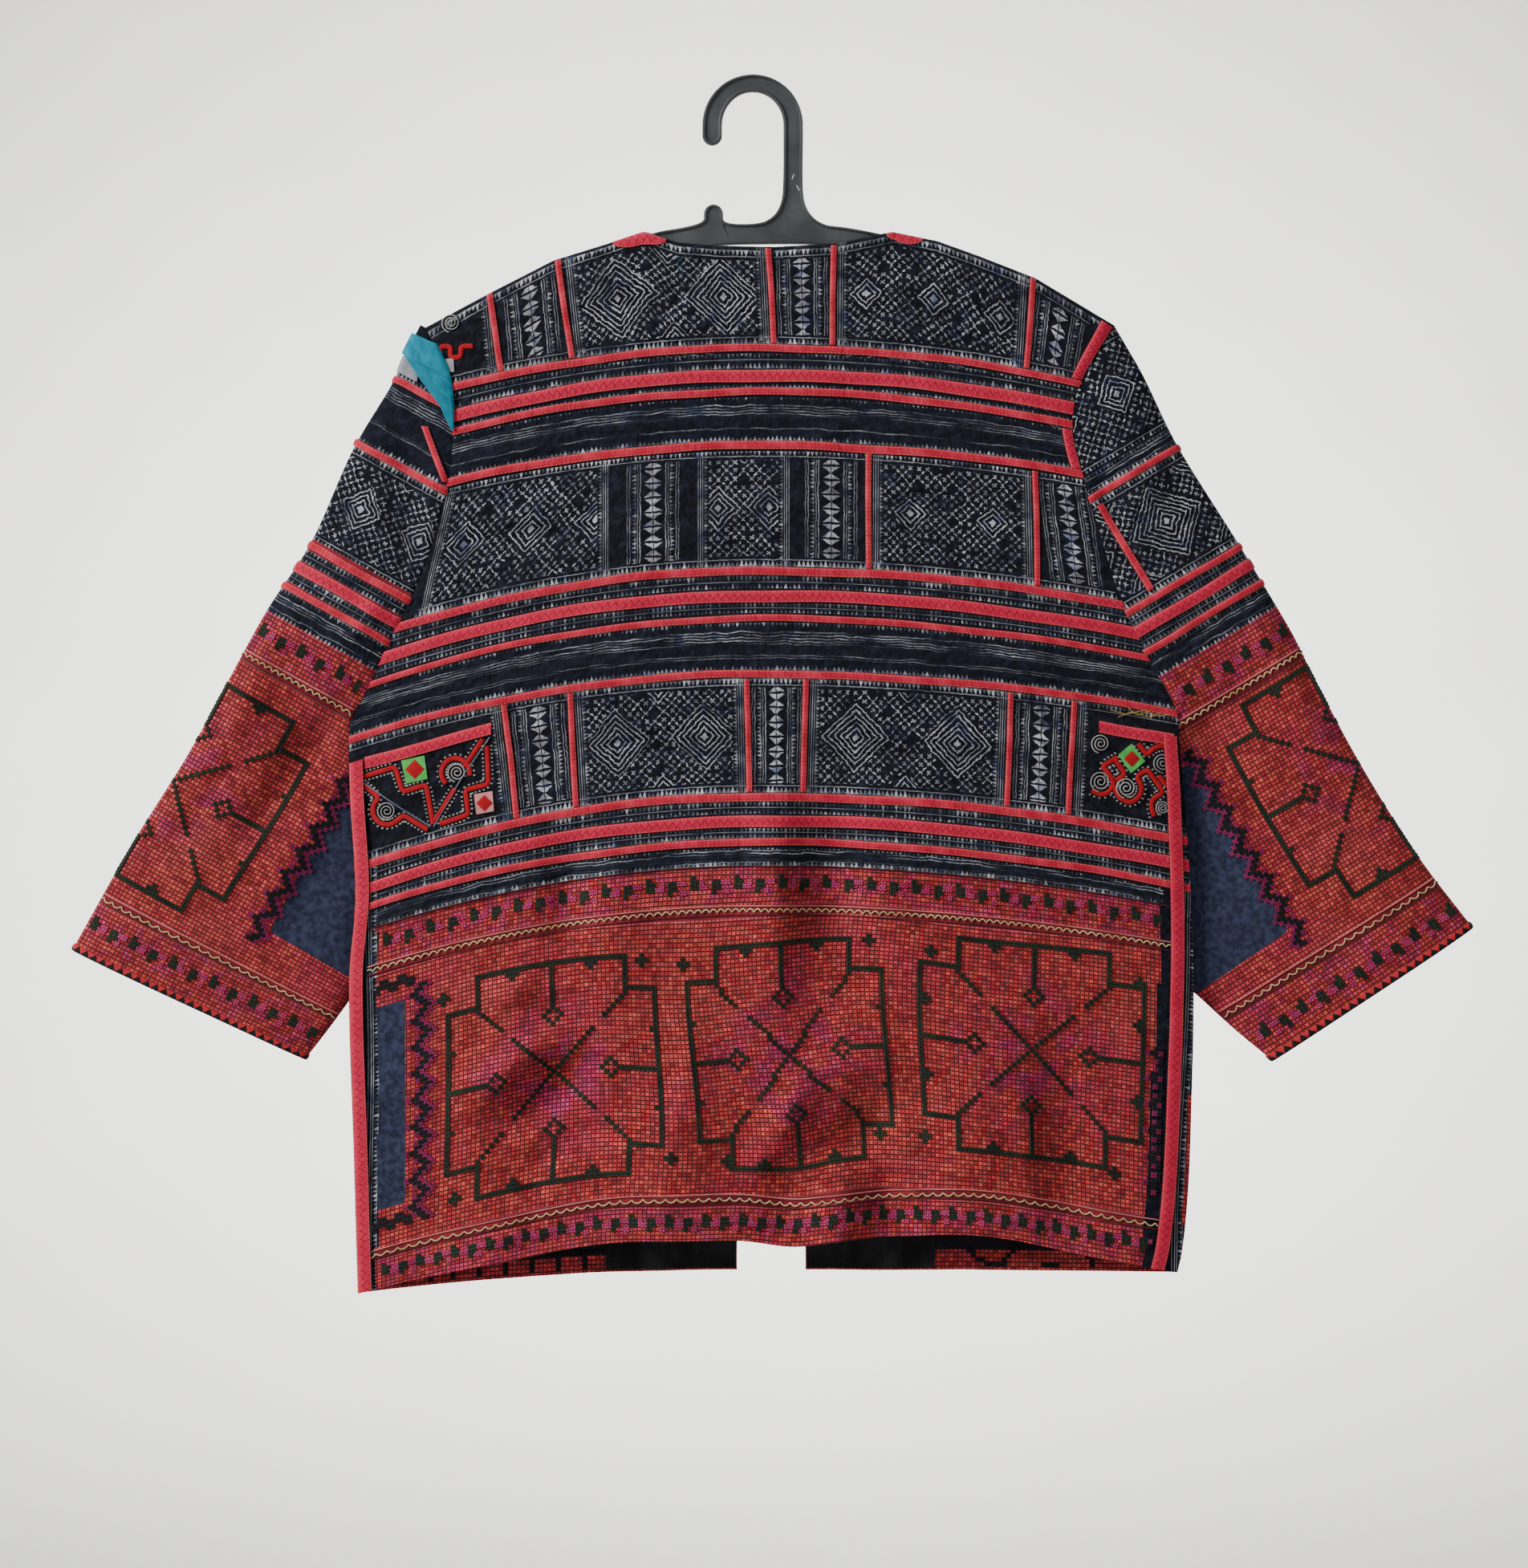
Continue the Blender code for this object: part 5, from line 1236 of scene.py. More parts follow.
# The second tape of the left sleeve lies over the foot of the slanting one
OVER_TAPE = 0.8
across_back = np.linspace(0.0, 1.0, 150)[:, None]
strips = []
for number, tape in enumerate(BACK_TAPES, 1):
    level = tape.middle + waver(across_back * 480, number) - SPREAD * tape.width
    strips.append(strip(back_at, across_back, level, TAPE))
sewn_on("back_tapes", "tape", strips, *[f"back_tape_{k + 1}" for k in range(len(BACK_TAPES))])

places = np.linspace(0, 2 * LAYER_COLUMNS, 110)[:, None]
for side, rings in SLEEVE_TAPES.items():
    sleeve = sleeves[side]
    strips = []
    for number, tape in enumerate(rings):
        rows = sleeve.station(tape.middle + SPREAD * tape.width) + waver(places * 4, number + 5, 0.08)
        lift = OVER_TAPE if side == "left" and number == 1 else TAPE_LIFT
        strips.append(strip(sleeve.at, rows, places, TAPE, lift))
    nodes = [f"sleeve_tape_{side}_{k + 1}" for k in range(len(rings))]
    sewn_on(f"sleeve_tapes_{side}", "tape", strips, *nodes)

# Upright tapes between the batik blocks of each row
UPRIGHT_WIDTH = 4.2
UPRIGHTS = {
    1: (YOKE_TOP - 1.5, -167.0, TOP_ROW[1:6]),
    2: (-237.7, -313.5, MIDDLE_ROW[4:6]),
    3: (-388.0, -461.9, LOW_ROW[1:7]),
}
t = np.linspace(0, 1, 40)[:, None]
strips, nodes = [], []
for row, (upper, lower, places) in UPRIGHTS.items():
    for number, (top_x, foot_x) in enumerate(places, 1):
        middle = top_x + (foot_x - top_x) * t + waver(t * 70, number + row, 0.25)
        level = upper + (lower - upper) * t
        strips.append(strip(back_spot, middle + SPREAD * UPRIGHT_WIDTH, level, TAPE, 0.2, 0.9))
        nodes.append(f"upright_{row}_{number}")
sewn_on("upright_tapes", "tape", strips, *nodes)

# Short wide bars over the applique corners, tapes along the upper right armhole, and a strip at each side seam
BARS = {"left": (-256.0, -443.0, -172.0, -421.0), "right": (228.0, -419.0, 278.0, -428.5)}
BAR_WIDTH, SIDE_WIDTH, SIDE_TOP = 8.0, 9.3, -400.0
# How far each side strip is set in from the side edge at its head, its middle and its foot
SIDE_INSETS = {"left": (0.3, 0.3, 0.3), "right": (1.5, 7.0, 9.0)}
strips, nodes = [], []
t = np.linspace(0, 1, 36)
for side, (x0, z0, x1, z1) in BARS.items():
    x = x0 + (x1 - x0) * t
    middle = level_at(x, z0 + (z1 - z0) * t) + waver(t * 80, 3)
    strips.append(strip(back_spot, x[:, None], middle[:, None] - SPREAD * BAR_WIDTH, TAPE, 0.2, 1.0))
    nodes.append(f"corner_bar_{side}")
for number, (upper, lower) in enumerate([(YOKE_TOP - 3.0, -167.0), (-201.9, -231.2)], 1):
    share = np.linspace(0.9825, 0.9995, len(SPREAD))
    strips.append(strip(back_at, share, np.linspace(upper, lower, 24)[:, None], TAPE, 0.2, 0.9))
    nodes.append(f"armhole_tape_{number}")
level = np.linspace(SIDE_TOP, HEM.centre + 0.2, 110)
for side, sign in (("left", 1), ("right", -1)):
    edge = back_at(0.0 if side == "left" else 1.0, level)[:, 0]
    t = (level[0] - level) / (level[0] - level[-1])
    start = edge + sign * np.interp(t, (0.0, 0.5, 1.0), SIDE_INSETS[side])
    x = start[:, None] + sign * (SPREAD + 0.5) * SIDE_WIDTH
    strips.append(strip(back_spot, x, level[:, None], TAPE, 1.5, 1.0))
    nodes.append(f"side_band_{side}")
sewn_on("side_and_corner_tapes", "tape", strips, *nodes)

# Lengthwise tape on the right sleeve and slanting tape by the left armhole
t = np.linspace(0, 1, 40)[:, None]
long_tape = (sleeves["right"].spot, 69 + 65.5 * t, 65.0 + 1.5 * t + SPREAD * 5.0, TAPE, 0.25, 0.95)
slant_tape = (sleeves["left"].spot, 36 + 25.5 * t - SPREAD * 2.0, 34 + 31 * t + SPREAD * 4.2, TAPE, 0.7, 0.95)
for node, tape in (("sleeve_long_tape", long_tape), ("sleeve_slant_tape", slant_tape)):
    sewn_on(f"{node}_sewn", "tape", [strip(*tape)], node)


# Neck bindings: a narrow strip of red cotton tape, folded over the raw neck edge and sewn down. One runs over
# each shoulder at the neck corner and on down the front edge.
t = np.linspace(0, 1, 26)[:, None]
drop = 0.25 + 0.75 * np.sin(t * math.pi) ** 0.6
strips = []
for start, end, low in ((-92.0, -57.0, -110.5), (88.0, 112.0, -109.0)):
    x = start + (end - start) * t
    level = YOKE_TOP - 0.4 + (low - YOKE_TOP) * drop * np.linspace(0, 1, 9)
    strips.append(strip(back_spot, x, level, TAPE, 0.25, 1.0))
sewn_on("neck_corners", "tape", strips, "neck_corner_left", "neck_corner_right")
fall = np.linspace(0.006, 0.62, 120)[:, None]
v = np.linspace(0.966, 0.9995, len(SPREAD))
for side in ("left", "right"):
    binding = strip(partial(front_at, side), v, fall, TAPE, 0.3, 1.0)
    sewn_on(f"neck_binding_sewn_{side}", "tape", [binding], f"neck_binding_{side}")


# Facings: plain black-grey cotton inside each front edge, from below the neck to the hem. Each is sewn down flat
# along both its edges in dark red running stitches.
def facing_cloth():
    cloth = Finish("facing_cotton", dye(22, 22, 25), 0.9, Sheen_Weight=0.04, Specular_IOR_Level=0.12)
    along, across, wide = cloth.attribute("tape")
    flat = cloth.vector(along, across, 0.0)
    worn = cloth.noise(flat, 0.05, 4.0)
    colour = cloth.mix(dye(20, 20, 22), dye(46, 45, 49), worn.between(0.35, 0.8))
    weave = cloth.noise(cloth.vector(along * 0.3, across * 2.5, 0.0), 1.0, 1.0)
    edge = wide / 2 - abs(across)
    sewn = (edge - 3.0).line(0.25) * ((along / 3.4).part() < 0.6)
    colour = cloth.mix(colour, dye(60, 22, 26), sewn * 0.6)
    return cloth.show(colour, 0.8 + 0.15 * worn, weave * 0.4 + worn, 0.0006)


FACING = facing_cloth()


def inside_front(side, v, fall, out):
    """A place on a front's inner face."""
    return front_at(side, v, fall, -CLOTH_THICK - np.asarray(out))


fall = np.linspace(0.088, 0.998, 130)[:, None]
v = np.linspace(0.652, 0.997, 25)
for side in ("left", "right"):
    facing = strip(partial(inside_front, side), v, fall, FACING, 0.2, 0.9, True)
    sewn_on(f"facing_sewn_{side}", "facing", [facing], f"facing_{side}")


# Mending patches on the head of the left sleeve: a teal one of plain cotton, turned under at its edges and sewn
# down by hand beside the armhole, and a small grey one.
THREAD_PITCH = 0.55


def patch_cloth(name, dark, light):
    cloth = Finish(name, light, 0.85, Sheen_Weight=0.05, Specular_IOR_Level=0.15)
    along, across, _ = cloth.attribute("tape")
    flat = cloth.vector(along, across, 0.0)
    warp, weft = ((way / THREAD_PITCH * math.tau).sine() for way in (along, across))
    slub = cloth.noise(cloth.vector(along * 0.1, across * 1.6, 0.0), 1.0, 3.0)
    worn = cloth.noise(flat, 0.12, 4.0)
    colour = cloth.mix(dark, light, (slub * 0.6 + worn * 0.6).between(0.3, 0.9))
    return cloth.show(colour, 0.78 + 0.16 * worn, warp * weft * 0.15 + worn + slub * 0.3, 0.0008)


TEAL = patch_cloth("teal_cotton", dye(4, 106, 138), dye(30, 170, 196))
GREY = patch_cloth("grey_cotton", dye(120, 124, 130), dye(176, 180, 186))


def sleeve_share(q):
    """The column of a sleeve's back at a share from its fold."""
    return LAYER_COLUMNS * (1 - np.arccos(1 - 2 * np.clip(q, 0, 1)) / math.pi)


# How far down the armhole the teal patch reaches, by its share along, and how thick it is turned under
TEAL_REACH = [(0, 0.012), (0.34, 0.012), (0.6, 0.5), (0.77, 0.8), (1, 0.97)]
TEAL_SEAM, TEAL_LIFT = 0.9955, 2.1
left_sleeve = sleeves["left"]
t = np.linspace(0, 1, 34)
q = TEAL_SEAM + (straight(TEAL_REACH, t) - TEAL_SEAM)[:, None] * np.linspace(0, 1, 20)
station = left_sleeve.station(-14 + 44 * t)[:, None]
teal_patch = strip(left_sleeve.at, station, sleeve_share(q), TEAL, TEAL_LIFT, 1.1, True)
sewn_on("teal_patch_sewn", "teal", [teal_patch], "teal_patch")
station = left_sleeve.station(2 + 11 * np.linspace(0, 1, 12))[:, None]
grey_patch = strip(left_sleeve.at, station, sleeve_share(np.linspace(0.36, 0.01, 10)), GREY, 0.8, 0.9, True)
sewn_on("grey_patch_sewn", "grey", [grey_patch], "grey_patch")


# Cuff bindings: a narrow strip of black cotton with a row of red teeth, laid round the edge of each sleeve and
# sewn down.
def cuff_cloth():
    cloth = Finish("cuff_cotton", dye(20, 18, 22), 0.85, Sheen_Weight=0.05, Specular_IOR_Level=0.15)
    along, across, wide = cloth.attribute("tape")
    wave = abs((along / 6.4).part() * 2 - 1)
    share = across / wide + 0.5
    red = (wave * 0.95 - share).between(0.0, 0.12)
    worn = cloth.noise(cloth.vector(along, across, 0.0), 0.4, 3.0)
    dark = cloth.mix(dye(16, 15, 19), dye(40, 34, 40), worn.between(0.35, 0.75))
    colour = cloth.mix(dark, cloth.mix(dye(150, 24, 34), dye(196, 54, 56), worn), red)
    stitch = abs((along / 1.6).part() - 0.5)
    return cloth.show(colour, 0.76 + 0.16 * worn, worn * 0.6 + stitch * 0.4, 0.0007)


CUFF = cuff_cloth()
CUFF_WIDTH = 4.6
around_cuff = np.linspace(0, 2 * LAYER_COLUMNS, 161)[:, None]
for side, sleeve in sleeves.items():
    rows = np.linspace(sleeve.station(sleeve.along[-1] - CUFF_WIDTH), len(sleeve.along) - 1, 5)
    binding = strip(sleeve.at, rows, around_cuff, CUFF, 0.25, 0.95)
    sewn_on(f"cuff_binding_sewn_{side}", "facing", [binding], f"cuff_binding_{side}")


# Cross-stitched figures: hooked squares, small stars, hooks and stepped lines in dark green, black, magenta and
# rose cotton. Each is sewn stitch by stitch over the red ground, and every stitch is a small cross of thick thread.
class Plan:
    """A tree of geometry nodes with named inputs. It ends in real meshes that carry their finish."""

    def __init__(self, name, inputs):
        self.tree = bpy.data.node_groups.new(name, "GeometryNodeTree")
        sockets = self.tree.interface
        sockets.new_socket("Geometry", in_out="OUTPUT", socket_type="NodeSocketGeometry")
        sockets.new_socket("Geometry", in_out="INPUT", socket_type="NodeSocketGeometry")
        for label in inputs:
            sockets.new_socket(label, in_out="INPUT", socket_type="NodeSocketFloat")
        sockets.new_socket("Finish", in_out="INPUT", socket_type="NodeSocketMaterial")
        self.given = self.tree.nodes.new("NodeGroupInput").outputs
        self.end = self.tree.nodes.new("NodeGroupOutput").inputs[0]

    def node(self, kind, settings=None, sockets=None, out=0):
        made = self.tree.nodes.new(kind)
        for name, value in (settings or {}).items():
            setattr(made, name, value)
        for name, value in (sockets or {}).items():
            for one in value if isinstance(value, list) else [value]:
                if isinstance(one, bpy.types.NodeSocket):
                    self.tree.links.new(one, made.inputs[name])
                else:
                    made.inputs[name].default_value = one
        return made.outputs[out]

    def attribute(self, name):
        return self.node("GeometryNodeInputNamedAttribute", {"data_type": "FLOAT_VECTOR"}, {"Name": name})

    def close(self, shape):
        shape = self.node("GeometryNodeRealizeInstances", None, {"Geometry": shape})
        shape = self.node("GeometryNodeSetMaterial", None, {"Geometry": shape, "Material": self.given["Finish"]})
        self.tree.links.new(shape, self.end)

    def make(self, name, points, edges, vectors, finish, sizes):
        """Runs the tree on points or lines, and keeps what it makes as a plain mesh."""
        start = bpy.data.meshes.new(name)
        start.from_pydata(np.asarray(points) * MM, edges, [])
        for key, values in vectors.items():
            add_pattern(start, key, "POINT", np.ravel(values))
        piece = placed(name, start)
        modifier = piece.modifiers.new(name, "NODES")
        modifier.node_group = self.tree
        sizes = {**sizes, "Finish": finish}
        for item in self.tree.interface.items_tree:
            if item.in_out == "INPUT" and item.name in sizes:
                modifier[item.identifier] = sizes[item.name]
        graph = bpy.context.evaluated_depsgraph_get()
        shown = piece.evaluated_get(graph)
        made = bpy.data.meshes.new_from_object(shown, preserve_all_data_layers=True, depsgraph=graph)
        piece.modifiers.clear()
        piece.data = made
        bpy.data.meshes.remove(start)
        made.name = name
        return declared(piece, "stitched")


def stitch_plan(name, turns):
    """One stitch on each point: a thin bar of thread for each turn."""
    plan = Plan(name, ["Reach", "Wide", "Tall"])
    given = plan.given
    size = plan.node("ShaderNodeCombineXYZ", None, {0: given["Reach"], 1: given["Wide"], 2: given["Tall"]})
    bar = plan.node("GeometryNodeMeshCube", None, {"Size": size})
    turned = [{"Geometry": bar, "Rotation": (0, 0, math.radians(turn))} for turn in turns]
    legs = [plan.node("GeometryNodeTransform", None, sockets) for sockets in turned]
    stitch = plan.node("GeometryNodeJoinGeometry", None, {0: legs})
    axes = {"primary_axis": "Z", "secondary_axis": "X"}
    ways = {"Primary Axis": plan.attribute("lie"), "Secondary Axis": plan.attribute("over")}
    way = plan.node("FunctionNodeAxesToRotation", axes, ways)
    swell = plan.node("FunctionNodeRandomValue", {"data_type": "FLOAT"}, {2: 0.88, 3: 1.1, "Seed": 7}, 1)
    sockets = {"Points": given["Geometry"], "Instance": stitch, "Rotation": way, "Scale": swell}
    plan.close(plan.node("GeometryNodeInstanceOnPoints", None, sockets))
    return plan


def thread_finish(name, dark, light, ply=1.1):
    """Twisted cotton thread. Its colour drifts along the line and its plies show as slanting bands."""
    cotton = Finish(name, dark, 0.75, Sheen_Weight=0.08, Specular_IOR_Level=0.2)
    place = cotton.place()
    drift = cotton.noise(place, 55.0, 3.0)
    fuzz = cotton.noise(place, 1400.0, 2.0)
    across, _, height = cotton.parts(place)
    twist = ((across + height) * (1000.0 * math.tau / ply)).sine()
    colour = cotton.mix(dark, light, (drift * 0.8 + fuzz * 0.4).between(0.35, 0.85))
    return cotton.show(colour, 0.7 + 0.16 * fuzz, twist * 0.5 + fuzz * 0.5, 0.0003)


def panel_spot(x, level, out=0.0):
    """A place on the stitched panel, which is pulled a little out of square."""
    across, up = pulled(x, level)
    return back_spot(x + across, level + up, out)


def laid_on(surface, x, level, out):
    """Places on a surface, with the way out of it and the way along it."""
    x, level = np.asarray(x, float), np.asarray(level, float)

    def spot(across=0, up=0, rise=0.0):
        return surface(x + across, level + up, np.full(x.shape, out + rise))

    over, down = spot(1) - spot(-1), spot(0, 1) - spot(0, -1)
    outward = spot(rise=1.0) - spot()
    lie = np.cross(over, down)
    lie *= np.sign((lie * outward).sum(-1, keepdims=True))
    return spot(), {"lie": lie, "over": over}


def cells_along(corners):
    """The cells that a line through these corners passes."""
    cells = []
    for (x0, y0), (x1, y1) in zip(corners, corners[1:]):
        count = math.ceil(max(abs(x1 - x0), abs(y1 - y0), 1))
        cells += [(round(x0 + (x1 - x0) * k / count), round(y0 + (y1 - y0) * k / count)) for k in range(count + 1)]
    return cells


def figure(wide):
    """The hooked square, drawn in by a share across: a stepped outline with stems, rings, hooks and a cross."""
    cells = []
    for s in (-1, 1):
        for t in (-1, 1):
            cells += cells_along([(0, 25 * t), (17 * s, 25 * t), (17 * s, 18 * t), (25 * s, 18 * t), (25 * s, 0)])
            cells += cells_along([(17 * s, 17 * t), (12 * s, 12 * t)]) + cells_along([(s, t), (9 * s, 9 * t)])
            cells += cells_along([(8 * s, 24 * t), (10 * s, 24 * t)]) + [(9 * s, 23 * t)]
            cells += cells_along([(24 * s, 8 * t), (24 * s, 10 * t)]) + [(23 * s, 9 * t)]
        cells += cells_along([(0, 24 * s), (0, 15 * s)]) + cells_along([(24 * s, 0), (15 * s, 0)])
        ring = [(0, 15 * s), (2, 13 * s), (0, 11 * s), (-2, 13 * s), (0, 15 * s)]
        cells += cells_along(ring) + cells_along([(y, x) for x, y in ring])
    cells += [(0, 0)]
    return {(round(x * wide), y) for x, y in cells}


def centred(cells, x, level):
    """Cells moved so that their middle is the cell at a place."""
    i, j = math.floor(x / CELL), math.floor(level / CELL)
    return {(i + a, j + b) for a, b in cells}


STITCH = {"Reach": 3.9 * MM, "Wide": 1.3 * MM, "Tall": 0.9 * MM}


def sewn(name, cells, surface, finish, limits=None):
    """Cross stitches on the cells of a surface that lie inside its limits."""
    cells = np.array(sorted(cells), float)
    x, level = (cells[:, 0] + 0.5) * CELL, (cells[:, 1] + 0.5) * CELL
    if limits is not None:
        keep = limits(x, level)
        x, level = x[keep], level[keep]
    spots, ways = laid_on(surface, x, level, 0.3)
    return CROSSED.make(name, spots, [], ways, finish, STITCH)


CROSSED = stitch_plan("crossed_stitch", (45, -45))
THREADS = {
    colour: thread_finish(f"{colour}_thread", dye(*dark), dye(*light))
    for colour, dark, light in (
        ("green", (20, 28, 22), (44, 54, 38)),
        ("black", (12, 10, 14), (34, 26, 36)),
        ("magenta", (112, 14, 60), (160, 34, 98)),
        ("rose", (158, 30, 88), (206, 70, 126)),
    )
}
STAR = {(0, 0), (1, 0), (-1, 0), (0, 1), (0, -1)}
HOOK = {(0, 0), (0, 1), (0, 2), (1, 0), (1, 1)}
STARS = [(-70.0, -570.0), (-40.8, -570.3), (79.5, -564.0), (118.2, -566.1), (254.4, -588.8), (-204.0, -600.5)]
STARS += [(-56.2, -700.1), (-21.2, -700.1), (81.1, -690.6), (110.8, -691.1), (240.1, -716.0), (-196.6, -732.0)]


def hooks_along(level, start, end, pitch):
    """Hooks that stand up and hang down in turn along a border, and the bright marks between them."""
    dark, bright = set(), set()
    j = math.floor(level / CELL)
    for number, i in enumerate(range(math.ceil(start / CELL), math.floor(end / CELL), pitch)):
        hangs = number % 2
        dark |= {(i + a, j + 1 - b if hangs else j + b) for a, b in HOOK}
        bright |= {(i + 2, j + hangs), (i + 3, j + hangs), (i + 3 - number % 3 // 2, j + 1 - 2 * hangs)}
    return dark, bright - dark


def stepped(x, upper, lower, turn=0):
    """A stepped line down the cloth, three stitches over and three back. It may turn in at both ends."""
    dark, bright = set(), set()
    top, foot = math.floor(upper / CELL), math.floor(lower / CELL)
    i = math.floor(x / CELL)
    for j in range(foot, top):
        side = abs(j % 6 - 3)
        dark |= {(i + side, j), (i + side + 1, j)}
        bright |= {(i + side - 1, j), (i + side + 2, j)} if j % 2 else {(i + side + 2, j)}
    for j in (top, foot):
        for k in range(abs(turn)):
            over, step = i + int(math.copysign(k, turn)), (k // 2) % 2
            dark |= {(over, j + step), (over, j + step + 1)}
    return dark, bright - dark


def add_marks(figures, thread, bright_thread, marks):
    """Adds dark marks and the bright ones between them to the cells of their threads."""
    figures[thread] |= marks[0]
    figures[bright_thread] |= marks[1]


figures = {colour: set() for colour in THREADS}
for (x, level), wide in zip(BACK_MOTIFS, (0.98, 0.9, 1.0)):
    figures["green"] |= centred(figure(wide), x, level)
for border in ((-522.5, -246.0, 278.0, 5), (-742.5, -246.0, 264.0, 4)):
    add_marks(figures, "green", "rose", hooks_along(*border))
for x, z in STARS:
    figures["green"] |= centred(STAR, x, float(level_at(np.array(x), np.array(z))))
for line in ((-224.0, -554.0, -712.0, -9), (262.0, -610.0, -711.0, 0)):
    add_marks(figures, "black", "magenta", stepped(*line))


def on_panel(x, level):
    """True inside the stitched panel, clear of both side bands."""
    share = share_at(x, level)
    return (share > 0.022) & (share < 0.965) & (level > HEM.centre + 2.0)


for colour, cells in figures.items():
    sewn(f"back_stitches_{colour}", cells, panel_spot, THREADS[colour], on_panel)

# How far from a sleeve's head its borders lie, and both ends of its stepped lines: along, and from the fold
SLEEVE_SEWN = {
    "left": ((208, 430), ((251.5, 93.3), (385.8, 97.3))),
    "right": ((204, 418), ((236.6, 87.4), (384.9, 94.3))),
}
for side, (borders, (upper, lower)) in SLEEVE_SEWN.items():
    sleeve = sleeves[side]

    def inside_seams(x, level, sleeve=sleeve):
        width = np.interp(-level, sleeve.along, sleeve.width)
        return (np.abs(x) < width - 5.0) & (-level < sleeve.along[-1] - 6.0)

    figures = {colour: set() for colour in THREADS}
    figures["green"] |= centred(figure(0.98), *SLEEVES[side]["motif"])
    for border in borders:
        add_marks(figures, "green", "rose", hooks_along(-border, -230.0, 230.0, 5))
    for sign in (-1, 1):
        add_marks(figures, "black", "magenta", stepped(sign * upper[1], -upper[0], -lower[0]))
    for colour, cells in figures.items():
        name = f"sleeve_stitches_{colour}_{side}"
        sewn(name, cells, sleeve.pattern_spot, THREADS[colour], inside_seams)


# Inside the hem, bars on the left front and part of a ring with two short lines on the right one
HEM_LINES = {
    "left": [[(x, -745.5), (x + 13.0, -745.5), (x + 13.0, -754.0)] for x in range(-246, -100, 17)],
    "right": [[(143.5, -744.0), (147.8, -750.5), (155.4, -754.5), (163.9, -753.5), (174.1, -743.5)]]
    + [[(220.7, -743.2), (223.0, -754.0)], [(192.0, -753.5), (199.0, -753.5)]],
}
for side, lines in HEM_LINES.items():

    def inside_hem(x, level, out, side=side):
        fall = (np.asarray(level) - YOKE_TOP) / (HEM.centre - YOKE_TOP)
        start, end = front_at(side, 0.0, fall)[..., 0], front_at(side, 1.0, fall)[..., 0]
        return inside_front(side, (x - start) / (end - start), fall, out)

    bars = {cell for line in lines for cell in cells_along([(x / CELL, level / CELL) for x, level in line])}
    sewn(f"hem_bars_{side}", bars, inside_hem, THREADS["black"])


# Cords along the stitched borders: a cream cord couched down in small scallops, with a light pink line above it
# and a dark red line below, across the back and round each sleeve.
def cord_plan():
    """A round thread along every line."""
    plan = Plan("thread_along_line", ["Thick"])
    half = plan.node("ShaderNodeMath", {"operation": "MULTIPLY"}, {0: plan.given["Thick"], 1: 0.5})
    ring = plan.node("GeometryNodeCurvePrimitiveCircle", None, {"Resolution": 6, "Radius": half})
    line = plan.node("GeometryNodeMeshToCurve", None, {0: plan.given["Geometry"]})
    shape = plan.node("GeometryNodeCurveToMesh", None, {"Curve": line, "Profile Curve": ring, "Fill Caps": True})
    plan.close(plan.node("GeometryNodeSetShadeSmooth", None, {0: shape}))
    return plan


CORD = cord_plan()


def cords(name, lines, finish, thick):
    """Threads along several lines of places, as one piece."""
    points = np.vstack(lines)
    edges, start = [], 0
    for line in lines:
        edges += [(start + k, start + k + 1) for k in range(len(line) - 1)]
        start += len(line)
    return CORD.make(name, points, edges, {}, finish, {"Thick": thick * MM})


CREAM_CORD = thread_finish("cream_cord", dye(180, 152, 96), dye(228, 206, 150), 0.9)
PINK_THREAD = thread_finish("pink_thread", dye(190, 84, 88), dye(224, 136, 130))
WINE_THREAD = thread_finish("wine_thread", dye(64, 6, 16), dye(104, 14, 28))
SCALLOP_TALL = 2.6


def scallops(surface, level, start, end, run, turn):
    """A cord in scallops of a length, which stand up where turn is 1 and hang down where it is -1."""
    x = np.arange(start, end, run / 8)
    rise = np.abs(np.sin(math.pi * (x - start + 1.5 * np.sin(x / 23.0)) / run)) ** 0.7
    return surface(x, level + turn * SCALLOP_TALL * (rise - 0.5), np.full(x.shape, 0.55))


def even_line(surface, level, start, end):
    x = np.linspace(start, end, int(abs(end - start) / 3.0))
    return surface(x, np.full(x.shape, level), np.full(x.shape, 0.35))


def border_cords(where, side, surface, borders, wine_lines=()):
    """The cream cord of each border, with a thin thread above it and one below."""
    cream, pink, wine = [], [], []
    for level, start, end, run, turn in borders:
        cream.append(scallops(surface, level, start, end, run, turn))
        pink.append(even_line(surface, level + 3.2, start, end))
        wine.append(even_line(surface, level - 2.8, start, end))
    wine += [even_line(surface, *line) for line in wine_lines]
    cords(f"{where}_cream_cord{side}", cream, CREAM_CORD, 1.0)
    cords(f"{where}_pink_lines{side}", pink, PINK_THREAD, 0.9)
    cords(f"{where}_wine_lines{side}", wine, WINE_THREAD, 0.9)


back_borders = ((-540.0, -254.0, 277.0, 5.1, 1), (-728.8, -254.0, 268.0, 7.0, -1))
border_cords("back", "", back_spot, back_borders, [(-511.0, -256.0, 280.0)])
for side, levels in (("left", (-225.0, -411.0)), ("right", (-221.0, -396.5))):
    sleeve = sleeves[side]
    borders = []
    for level, run, turn in zip(levels, (5.1, 7.0), (1, -1)):
        reach = float(np.interp(-level, sleeve.along, sleeve.width)) - 1.5
        borders.append((level, -reach, reach, run, turn))
    border_cords("sleeve", f"_{side}", sleeve.pattern_spot, borders)


# Applique corners: narrow red strips folded and sewn down in stepped and curled lines on the dark ground, with
# small green and pink squares, red diamonds, white cords coiled between them and rows of white dots.
PICTURE_MIDDLE, PICTURE_TOP, PICTURE_UNIT = 938.0, 114.0, 0.53
RIBBON_WIDE, COIL_TURNS, COIL_START = 3.1, 2.6, 40.0


